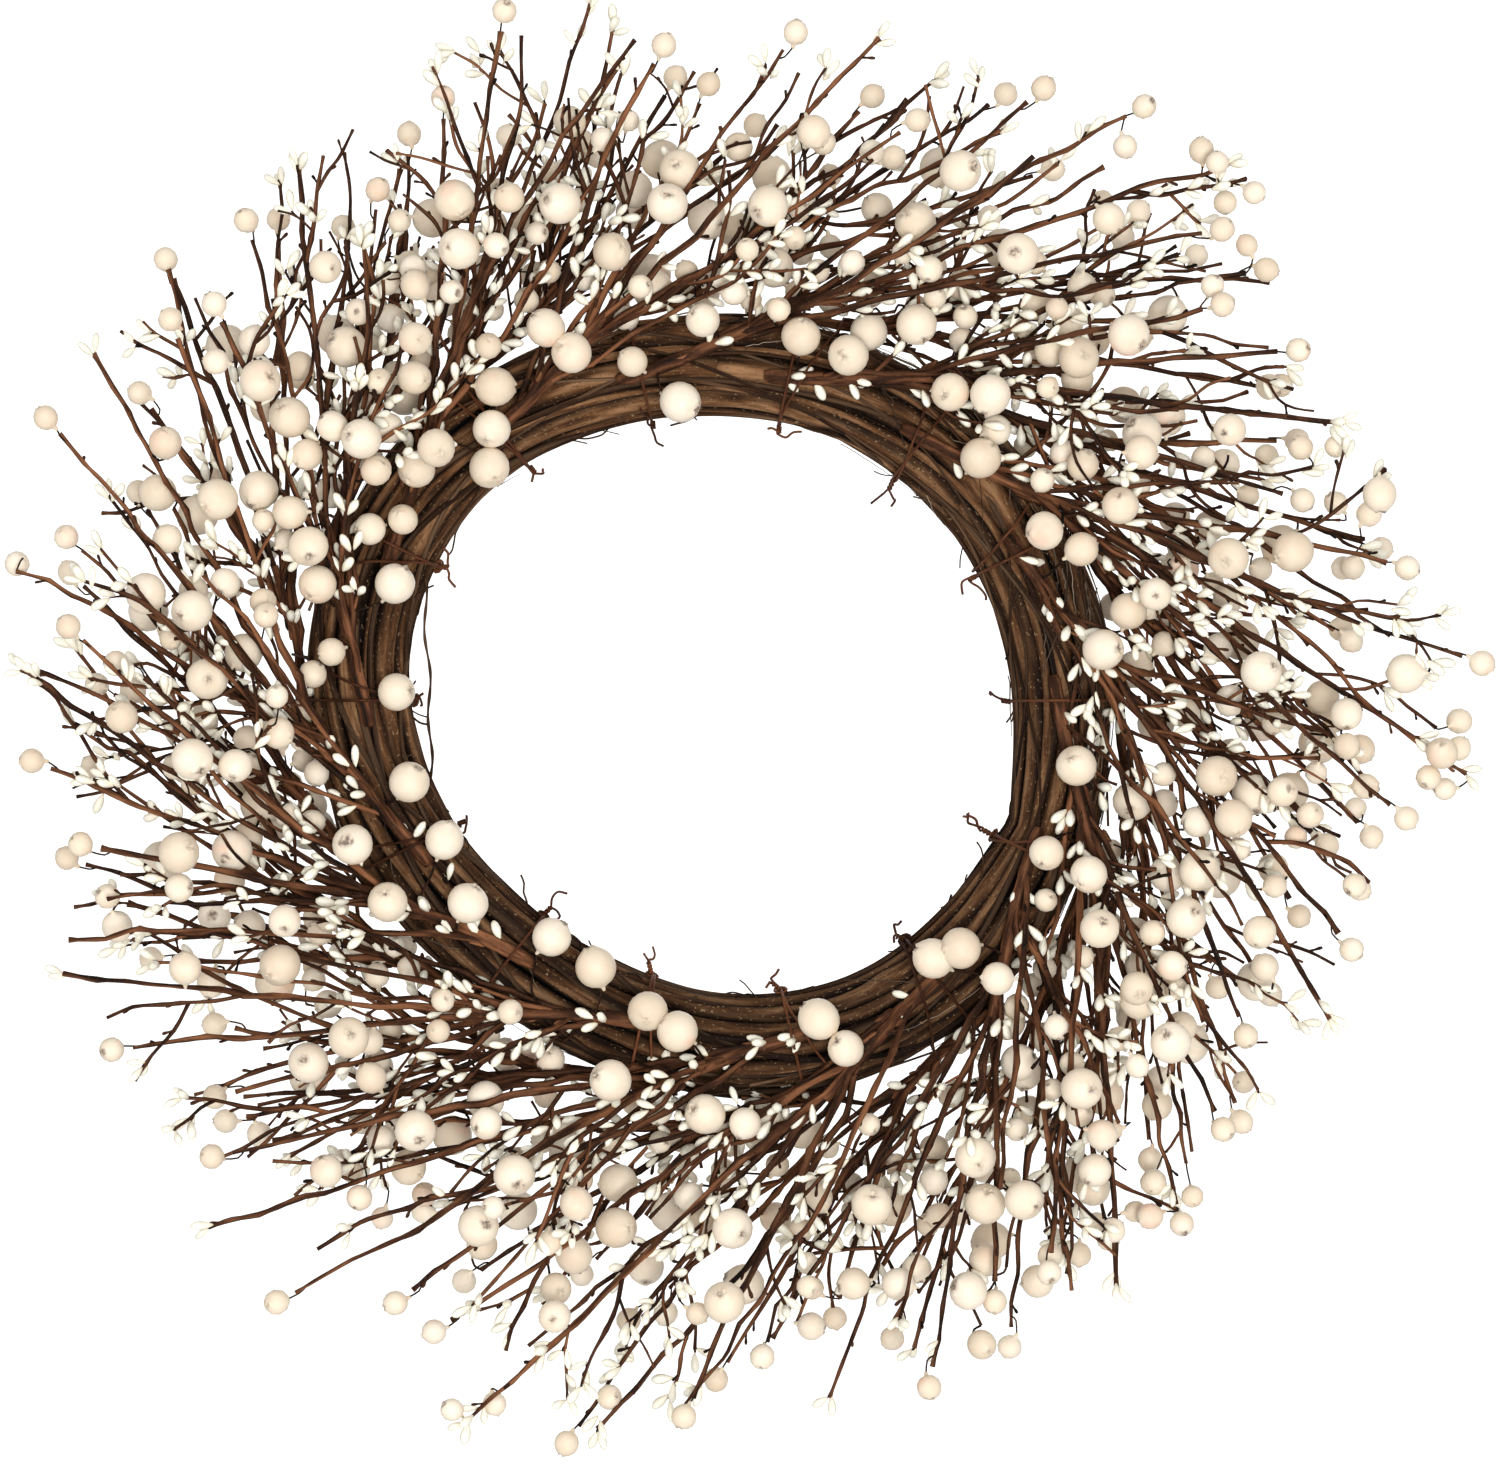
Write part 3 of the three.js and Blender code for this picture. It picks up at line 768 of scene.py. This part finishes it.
def twisted_ends(wires, root, way, along, tone):
    """The tie's two ends: twisted round each other, then off by themselves with a few sharp bends,
    and on some ties a loose flat coil beside them."""
    way = unit(way)
    side, other = across(way, random_unit())
    length = uniform(3, 6)
    turns = uniform(1.5, 2.5)
    for start in (0, pi):
        points = []
        for t in np.linspace(0, 1, 13):
            twist = circled(side, other, start + FULL_TURN * turns * t)
            points.append(root + way * length * t + twist * 0.68)
        heading = unit(unit(points[-1] - points[-2]) + random_unit() * 0.5)
        for _ in range(draw.randrange(1, 5)):
            points.append(points[-1] + heading * uniform(1.6, 4.2))
            heading = unit(heading + random_unit() * 0.9)
        tube(wires, smooth_path(points, 0.8), 0.52, 5, tone)
    if draw.random() < 0.6:
        side, other = unit(along), unit(np.cross(along, way))
        points = []
        for t in np.linspace(0, 1, 26):
            spoke = circled(side, other, FULL_TURN * COIL_TURNS * t) * between(1, 2.7, t)
            points.append(root - way + spoke + way * 1.4 * t)
        tube(wires, points, 0.5, 5, tone)


def tie_loop(clock, lean, lift):
    """One turn of wire round the bundle and over its two stems; lean slants it along the ring."""
    points = []
    for count in range(TIE_STEPS * 4 + 1):
        step = TWIST_STEP + count / 4
        from_crests = [abs(step % TIE_STEPS - crest) for crest in (0, BACK_STEM_STEP)]
        near = min(min(gap, TIE_STEPS - gap) for gap in from_crests)
        radius = between(TIE_RADIUS - 0.75, TIE_CREST_RADIUS - 0.1, max(0, 1 - near)) + lift
        side = lean * (1 - cos(FULL_TURN * count / (4 * TIE_STEPS))) / 2
        angle = FRONT_SEAT_ANGLE + step * 360 / TIE_STEPS
        points.append(in_bundle(clock + degrees(side / RING_RADIUS), radius, angle))
    return smooth_path(points, 2.2)


for pair in range(PAIR_COUNT):
    wires = Pieces()
    clock = (pair + 0.5) * PAIR_STEP
    lean = uniform(6, 19) * draw.choice((-1, 1))
    tone = uniform(0.2, 1)
    tube(wires, tie_loop(clock, 0, 0), WIRE_RADIUS * 0.85, 6, tone)
    if draw.random() < 0.7:
        tube(wires, tie_loop(clock + uniform(-1, 1), lean, 0.1), WIRE_RADIUS * 0.75, 6, tone)
    root = in_bundle(clock + 0.2, TIE_RADIUS - 0.9, TWIST_ANGLE)
    way = in_bundle(clock + 1.5, TIE_RADIUS + 9, TWIST_ANGLE - 8) - root
    along = in_bundle(clock + 2, TIE_RADIUS - 0.9, TWIST_ANGLE) - root
    twisted_ends(wires, root, way + random_unit() * 4, along, tone)
    finish_piece(wires.build(f"wire_tie_{pair + 1}", wire), "tie_wire", f"tie_{pair + 1}")


# The sprays: their stems.


class Spray:
    """One spray's meshes and its stems in place, for hanging berries on."""

    def __init__(self, layer, pair):
        self.layer = layer
        self.pair = pair
        self.tie_clock = (pair + 0.5) * PAIR_STEP
        self.reach = layer.reach[pair]
        self.stems, self.berries, self.pips = Pieces(), Pieces(), Pieces()
        self.branches, self.side_stems, self.twigs = [], [], []
        self.own_stem = np.array([in_spray(*point) for point in layer.main_stem])
        self.thick_stem = self.world(self.own_stem)

    def world(self, points):
        """Turns points of the spray's own frame into place round the ring."""
        along, out, _ = self.layer.main_stem[1]
        turn = radians(self.tie_clock) - atan2(along, out)
        c, s = cos(turn), sin(turn)
        points = np.asarray(points, float)
        x, y, z = points[..., 0], points[..., 1], points[..., 2]
        return np.stack([x * c + z * s, y, z * c - x * s - SEAT_RISE], -1)

    def paths(self):
        return [self.main] + self.branches + self.side_stems + self.twigs


def cad_branch(spray, number):
    """The control points of one branch of the solids, in the spray's own frame."""
    layer, pair = spray.layer, spray.pair
    start, tilt, share = layer.branches[number][:3]
    fork = spray.own_stem[-1]
    slant = radians(tilt + between(-1.5, 1.5, noise(pair, number)))
    length = length_to_radius(fork, slant, (spray.reach - SMALL_BERRY / 2) * share)
    forward = layer.tip_forward[(number + pair) % len(layer.tip_forward)]
    tip = in_spray(fork[0] + length * cos(slant), fork[2] + length * sin(slant), forward)
    root = place_on(spray.own_stem, start)
    points = [root]
    for step in range(1, BRANCH_STEPS + 1):
        point = root + (tip - root) * step / BRANCH_STEPS
        if step < BRANCH_STEPS:
            point[2] += WIGGLE * between(-1, 1, noise(pair + 31, number * 9 + step))
            point[1] += WIGGLE * between(-1, 1, noise(pair + 57, number * 9 + step))
        points.append(keep_inside(layer, point, BRANCH_RADIUS))
    return points


# The berries so far, as (x, y, z, radius).
placed = np.zeros((0, 4))


def gap_to_berries(points):
    """The least gap between any of the points and a berry."""
    return (norm(points[:, None] - placed[:, :3], axis=2) - placed[:, 3]).min()


def fits(spray, point, margin):
    """True inside the depth range for the looks and the spray's reach from the ring's centre."""
    low, high = spray.layer.looks_range
    _, radius, forward = polar(point)
    return low + margin < forward < high - margin and radius < spray.reach - margin


def grow_stem(spray, kept, control, radii, knot_gap, kink, sides, clear=True):
    """Adds a kinked, tapering, slightly flattened stem to the kept ones if it clears the berries."""
    path, knots = kinked(smooth_path(control, 3.4), knot_gap, kink)
    if clear and gap_to_berries(path[1:]) <= radii[0] + 0.3:
        return False
    along = distances(path)
    thickness = between(*radii, (along / along[-1]) ** 1.3)
    for knot in knots:
        past = along - knot
        wrap = uniform(0.12, 0.45) * np.exp(-np.abs(past) / np.where(past > 0, 4.5, 0.9))
        thickness = thickness * (1 + wrap)
    thickness = thickness * np.array([uniform(0.9, 1.12) for _ in thickness])
    thickness[-1] *= uniform(1.1, 1.6)
    tone = 0.2 + 0.8 * draw.random()
    lean = uniform(0, pi) + along * uniform(-0.05, 0.05)
    tube(spray.stems, path, thickness, sides, tone, flat=uniform(0.08, 0.24), lean=lean)
    for knot in knots:
        if draw.random() < 0.42:
            index = int(np.searchsorted(along, knot))
            add_stub(spray, path[index], unit(path[index] - path[index - 1]), thickness[index])
    kept.append(path)
    return True


def add_stub(spray, root, ahead, radius):
    """A short cut-off side twig with a dark blob at its end."""
    way = unit(ahead + random_unit() * 0.75)
    length = uniform(1.8, 5.5)
    points = root + way * np.array([[0], [0.45], [0.8], [1]]) * (length + radius)
    tube(spray.stems, points, np.array([0.8, 0.6, 0.95, 0.7]) * uniform(0.6, 0.95), 5, uniform(0.05, 0.5))


def add_torn_paper(spray, path):
    """Flakes of torn paper that stand off a stem where it leaves another."""
    t = np.linspace(0, 1, 5)[:, None]
    for _ in range(draw.choice((1, 2))):
        index = draw.randrange(1, 5)
        ahead = unit(path[index + 1] - path[index])
        aside = unit(np.cross(ahead, random_unit()))
        points = path[index] + aside * 0.6 + ahead * uniform(4, 8) * t + aside * uniform(0.8, 2) * t**2
        radii = np.array([0.9, 1.15, 1, 0.7, 0.2])
        tube(spray.stems, points, radii, 6, uniform(0.6, 1), flat=0.62, up=aside)


def swirl(root, end_clock, end_radius, end_forward):
    """Points from a root to a tip: along the ring at first, then more and more outwards."""
    clock, radius, forward = polar(root)
    end_clock = clock + (end_clock - clock + 180) % 360 - 180
    sweep = uniform(1.05, 1.6)
    rise = uniform(1.05, 1.5)
    points = []
    for t in np.linspace(0, 1, 7):
        turn = between(clock, end_clock, 1 - (1 - t) ** sweep)
        out = between(radius, end_radius, t**rise)
        points.append(from_polar(turn, out, between(forward, end_forward, t)))
    return np.array(points)


def wander(spray, root, heading, length, sway):
    """Points of a stem that strays from a root, drawn a little outwards, as far as there is room."""
    count = max(3, round(length / 11))
    points = [root]
    for _ in range(count):
        outwards = unit([points[-1][0], 0, points[-1][2] + SEAT_RISE])
        heading = unit(heading + random_unit() * sway + outwards * 0.08)
        point = points[-1] + heading * length / count
        if not fits(spray, point, 3):
            break
        points.append(point)
    return np.array(points)


def grow_limb(spray, number):
    """One more stem that leaves the thick stem over the ring and swirls outwards."""
    layer = spray.layer
    low, high = layer.looks_range
    short = number % 3 == 0
    for _ in range(10):
        root = place_on(spray.thick_stem, between(1.1, 2.7, (number + draw.random()) / layer.limbs))
        radius = uniform(178, 222) if short else spray.reach * uniform(0.84, 1)
        clock = spray.tie_clock + uniform(*layer.limb_clock) - (8 if short else 0)
        tip = swirl(root, clock, radius - 4, uniform(low + 5, high - 8))
        radii = (uniform(0.95, 1.3), uniform(0.6, 0.8))
        if grow_stem(spray, spray.branches, tip, radii, 12, 2.4, 5):
            add_torn_paper(spray, spray.branches[-1])
            return


def grow_side_stem(spray, parent, kept, odds, lengths, radii, sway, sides):
    """A stem that leaves another at a slant and ends in the open."""
    if draw.random() > odds:
        return
    for _ in range(6):
        index = min(max(int(len(parent) * uniform(0.12, 0.8)), 2), len(parent) - 3)
        ahead = unit(parent[index + 2] - parent[index - 2])
        aside = unit(np.cross(ahead, [0, 1, 0])) * draw.choice((-1, 1)) * uniform(0.3, 1.15)
        heading = unit(ahead + aside + FORWARD * uniform(-0.3, 0.35))
        points = wander(spray, parent[index], heading, uniform(*lengths), sway)
        if len(points) >= 4 and grow_stem(spray, kept, points, radii, 11, 1.3, sides):
            return


# The sprays: berries on their stems. Small ones are below a diameter: they have fewer rings and
# sides, a thinner stalk and a wider gap to the stem, and turn less to the side.
SMALL_LIMIT = 11
SMALL = SimpleNamespace(rings=6, sides=12, turn=0.35, wire=0.36, gap=(2.5, 9))
LARGER = SimpleNamespace(rings=9, sides=18, turn=0.55, wire=0.5, gap=(1, 5))
BERRY_DENTS = 0.02
PIT_RUFFLE = 0.26
TIP_STALK = 12
USUALLY_PAST_TIE = 12
START_SUNK = 2.4


def hang_berry(spray, root, centre, diameter):
    """A berry on its bent stalk; its pit looks away from the stem, and more forward at the front."""
    global placed
    kind = SMALL if diameter < SMALL_LIMIT else LARGER
    aside = unit(random_unit() * np.array([1, 0.8, 1])) * kind.turn
    forward = FORWARD * spray.layer.pit_forward
    axis = unit(unit(centre - root) * np.array([1, 0.6, 1]) * 0.7 + aside + forward)
    profile = berry_profile(diameter / 2, kind.rings)
    turned_solid(spray.berries, centre, axis, profile, kind.sides, BERRY_DENTS, PIT_RUFFLE)
    placed = np.vstack([placed, [*centre, diameter / 2]])
    end = centre - axis * (diameter / 2 + 0.8)
    span = norm(end - root)
    middle = (root + end) / 2 + random_unit() * span * 0.12 - axis * span * 0.2
    tube(spray.stems, smooth_path([root, middle, end], 2.2), kind.wire, 5, uniform(0, 0.15))


def hang_over_ring(spray, clock, finished_radius, diameter):
    """A berry over the ring on a stalk from the spray's thick stem."""
    radius = finished_radius - outward_shift(clock, finished_radius)
    roots = np.array([place_on(spray.thick_stem, place) for place in np.linspace(1, 2.98, 60)])
    target = from_polar(clock, radius, 24)
    root = roots[np.argmin(norm(roots - target, axis=1))]
    forward = min(INNER_BERRY_RISE - root[1], INNER_BERRY_LOW + 0.65 * (radius - INNER_RADIUS))
    hang_berry(spray, root, from_polar(clock, radius, forward - (LARGE_BERRY - diameter) / 2), diameter)


def hang_cad_berries(spray):
    """The berries of the solids, in their own places."""
    layer = spray.layer
    for number, (_, _, _, tip, diameter, share, slant) in enumerate(layer.branches):
        points = cad_branch(spray, number)
        if tip == "berry":
            centre = spray.world(keep_inside(layer, points[-1], SMALL_BERRY / 2))
            back = spray.world(points[-2])
            hang_berry(spray, centre + unit(back - centre) * TIP_STALK, centre, SMALL_BERRY)
        root = place_on(points, share * (len(points) - 1))
        turn = radians(slant)
        offset = in_spray(0, sin(turn), cos(turn)) * (diameter / 2 + STALK_LENGTH)
        centre = spray.world(keep_inside(layer, root + offset, diameter / 2))
        hang_berry(spray, spray.world(root), centre, diameter)
    if layer is FRONT:
        past_tie, radius = INNER_BERRIES[spray.pair]
        hang_over_ring(spray, spray.tie_clock + past_tie, radius, LARGE_BERRY)


def add_thick_stem(spray):
    """The thick stem from inside the bundle to the fork, flat side down, with torn paper."""
    main = spray.thick_stem.copy()
    ring_middle = from_polar(polar(main[0])[0], RING_RADIUS, 0)
    main[0] += unit(ring_middle - main[0]) * START_SUNK
    spray.main = smooth_path(main, 2.4)
    away = unit(spray.main[3] - from_polar(polar(spray.main[3])[0], RING_RADIUS, 0))
    share = np.linspace(0, 1, len(spray.main))
    wave = 1 + 0.05 * np.sin(share * 31 + uniform(0, 6)) + 0.04 * np.sin(share * 67 + uniform(0, 6))
    thickness = between(2.6, 1.7, share) * wave * (1 - 0.35 * np.exp(-share / 0.03))
    tube(spray.stems, spray.main, thickness, 12, uniform(0.5, 1), flat=-0.16, up=away)
    add_torn_paper(spray, spray.main)
    add_torn_paper(spray, spray.main[-8:])


sprays = [Spray(layer, pair) for pair in range(PAIR_COUNT) for layer in (FRONT, BACK)]
for spray in sprays:
    add_thick_stem(spray)
    for number, branch in enumerate(spray.layer.branches):
        points = spray.world(cad_branch(spray, number))
        if "berry" in branch:
            points[-1] += unit(points[-2] - points[-1]) * (SMALL_BERRY / 2 + 3)
        grow_stem(spray, spray.branches, points, (1.25, 0.75), 12, 1.7, 6, clear=False)
    hang_cad_berries(spray)
for clock, radius, diameter in MORE_INNER_BERRIES:
    pair = round((clock - USUALLY_PAST_TIE) / PAIR_STEP - 0.5) % PAIR_COUNT
    hang_over_ring(sprays[2 * pair], clock, radius, diameter)
for spray in sprays:
    for number in range(spray.layer.limbs):
        grow_limb(spray, number)
for spray in sprays:
    for parent in spray.branches:
        grow_side_stem(spray, parent, spray.side_stems, 0.8, (30, 75), (0.86, 0.58), 0.3, 5)
for spray in sprays:
    for parent in spray.branches + spray.side_stems:
        grow_side_stem(spray, parent, spray.twigs, 0.7, (14, 36), (0.7, 0.5), 0.33, 4)
        grow_side_stem(spray, parent, spray.twigs, 0.4, (10, 24), (0.62, 0.46), 0.33, 4)

stem_samples = np.concatenate([path for spray in sprays for path in spray.paths()])
stem_tree = kdtree.KDTree(len(stem_samples))
for i, point in enumerate(stem_samples):
    stem_tree.insert(point, i)
stem_tree.balance()

# The sprays: more berries and tufts of pips, zone by zone. Sizes are (diameter, least and greatest
# share of it), large, medium and small.
BERRY_SIZES = ((LARGE_BERRY, 0.9, 1.02), (MEDIUM_BERRY, 0.88, 1.05), (SMALL_BERRY, 0.9, 1.08))
PIPS_MOSTLY_ABOVE = 14
TUFT_GAP = 7
MOST_TRIES = 90000
tufts = np.zeros((1, 3))


def zone_of(point):
    radius = polar(point)[1]
    return next(zone for zone in ZONES if radius < zone.outer)


def is_free(centre, radius):
    """True where a berry would cross no stem, no other berry and not the ring."""
    _, from_centre, forward = polar(centre)
    from_bundle = hypot(from_centre - RING_RADIUS, forward)
    if stem_tree.find(centre)[2] < radius + 0.7 or from_bundle < BUNDLE_RADIUS + radius + 0.8:
        return False
    return gap_to_berries(centre[None]) > radius + 0.2


def try_berry(spray, root, ahead):
    """Hangs a berry beside a stem if its zone wants one and there is room."""
    zone = zone_of(root + ahead * 6)
    if zone.berries <= 0:
        return False
    size, low, high = draw.choices(BERRY_SIZES, weights=zone.odds)[0]
    diameter = size * uniform(low, high)
    gap = (SMALL if diameter < SMALL_LIMIT else LARGER).gap
    way = ahead * uniform(0.1, 0.9) + random_unit() * 0.9 + FORWARD * uniform(-0.55, 0.4)
    centre = root + unit(way) * (diameter / 2 + uniform(*gap))
    if not fits(spray, centre, diameter / 2) or not is_free(centre, diameter / 2):
        return False
    hang_berry(spray, root, centre, diameter)
    zone.berries -= 1
    return True


# A pip's outline: height and half width in millimetres, and how far along it is.
PIP_PROFILE = [
    (0, 0, 0), (0.4, 0.4, 0.05), (1.7, 0.95, 0.2), (3.7, 1.6, 0.42), (5.4, 1.78, 0.62), (7.1, 1.45, 0.82),
    (8.2, 0.75, 0.95), (8.6, 0, 1),
]


def add_tuft(spray, end, way):
    """Two to four pips that spread from a node, set a little apart along the stem."""
    count = draw.choice((2, 2, 2, 3, 3, 4))
    turn = uniform(0, FULL_TURN)
    side, other = across(way, [0.3, 0.8, 0.5])
    for k in range(count):
        aside = circled(side, other, turn + FULL_TURN * k / count + uniform(-0.3, 0.3))
        root = end - way * (k * uniform(0.8, 2.8)) + aside * 0.5
        heading = way + aside * uniform(0.35, 0.95)
        size = uniform(0.84, 1.08)
        slim = size * uniform(0.88, 1.12)
        rows = [(height * size, width * slim, share) for height, width, share in PIP_PROFILE]
        turned_solid(spray.pips, root, heading, rows, 6)


def try_tuft(spray, root, ahead, twig):
    """A tuft of pips on a short dark twig, if its zone wants one and there is room."""
    global tufts
    zone = zone_of(root)
    if zone.tufts <= 0:
        return False
    if -root[1] < PIPS_MOSTLY_ABOVE and draw.random() < 0.6:
        return False
    way = unit(ahead + random_unit() * 0.6)
    end = root + way * twig
    if not fits(spray, end + way * 8, 3.5) or gap_to_berries((end + way * 5)[None]) < 3.5:
        return False
    if stem_tree.find(end + way * 6)[2] < 1.2 or norm(tufts - end, axis=1).min() < TUFT_GAP:
        return False
    tufts = np.vstack([tufts, end])
    tube(spray.stems, smooth_path([root, (root + end) / 2 + random_unit() * 0.3, end], 2.5), 0.5, 5, 0.12)
    add_tuft(spray, end, way)
    zone.tufts -= 1
    return True


# The berries hung so far count in their zones, and a branch of pips bears a tuft at its tip.
for berry in placed:
    zone_of(berry).berries -= 1
for spray in sprays:
    for branch, path in zip(spray.layer.branches, spray.branches):
        if "pips" in branch:
            add_tuft(spray, path[-1], unit(path[-1] - path[-4]))

# Free ends first: a berry on its wire, a tuft of pips, both, or a bare cut end.
for spray in sprays:
    for path in spray.paths()[1:]:
        ahead = unit(path[-1] - path[-4])
        fate = draw.random()
        if fate < 0.34:
            any(try_berry(spray, path[-1], ahead) for _ in range(12))
        if 0.22 < fate < 0.7:
            any(try_tuft(spray, path[-1], ahead, 1) for _ in range(4))

# Then the rest along the stems, until every zone has its number or the tries run out. They do run
# out: the zone out to 300 mm gets 19 of its 20 berries and only 2 of its 14 tufts.
for _ in range(MOST_TRIES):
    if all(zone.berries <= 0 and zone.tufts <= 0 for zone in ZONES):
        break
    spray = draw.choice(sprays)
    path = draw.choice(spray.paths())
    index = draw.randrange(2, len(path) - 2)
    ahead = unit(path[index + 1] - path[index - 1])
    if draw.random() < 0.5:
        try_berry(spray, path[index], ahead)
    else:
        try_tuft(spray, path[index], ahead, uniform(1, 4))

for spray in sprays:
    side, number = spray.layer.name, spray.pair + 1
    for kind, material in (("stems", paper), ("berries", cream), ("pips", ivory)):
        piece = getattr(spray, kind).build(f"{side}_{kind}_{number}", material)
        finish_piece(piece, "berry_spray", f"{side}_spray_{number}")

# Light and backdrop, in metres. Rows are a light's name, place, size, power and colour.
for name, location, size, power, colour in (
    ("key_light", (0.3, -2.5, -0.45), 0.9, 46, (1, 0.99, 0.98)),
    ("fill_light", (-1.2, -2.3, 0.3), 1.6, 10, (1, 0.995, 0.99)),
    ("rear_light", (0.5, 2.4, 0.6), 1.8, 19, (1, 0.995, 0.99)),
):
    data = bpy.data.lights.new(name, "AREA")
    data.shape = "DISK"
    data.size = size
    data.energy = power
    data.color = colour
    light = add_object(name, data)
    light.location = location
    aim = np.array([0, 0, -SEAT_RISE * MM]) - np.array(location)
    light.rotation_euler = Vector(aim).to_track_quat("-Z", "Y").to_euler()

world = bpy.data.worlds.new("studio")
scene.world = world
world.use_nodes = True
background = world.node_tree.nodes["Background"].inputs
background["Color"].default_value = (1, 0.995, 0.985, 1)
background["Strength"].default_value = 0.6

# A pale floor well below the wreath that curves up into a round pale wall: rows are (radius,
# height above the floor).
FLOOR_RISE = -1.25
FLOOR_SIDES = 64
FLOOR_PROFILE = [(0, 0), (4.2, 0), (5, 0.1), (5.7, 0.5), (6.2, 1.3), (6.4, 2.6), (6.4, 7.75)]
vertices = []
for radius, height in FLOOR_PROFILE:
    for turn in FULL_TURN * np.arange(FLOOR_SIDES) / FLOOR_SIDES:
        vertices.append((radius * cos(turn), radius * sin(turn), FLOOR_RISE + height))
floor_mesh = bpy.data.meshes.new("floor")
floor_mesh.from_pydata(vertices, [], skin(len(FLOOR_PROFILE), FLOOR_SIDES)[0].tolist())
floor_mesh.materials.append(Surface("pale_floor").finish({
    "Base Color": (0.9, 0.9, 0.9, 1),
    "Roughness": 0.9,
    "Emission Color": (1, 1, 1, 1),
    "Emission Strength": 0.75,
}))
floor = add_object("floor", floor_mesh)
floor.visible_diffuse = False
floor.visible_glossy = False
floor.visible_shadow = False

scene.view_settings.view_transform = "Standard"
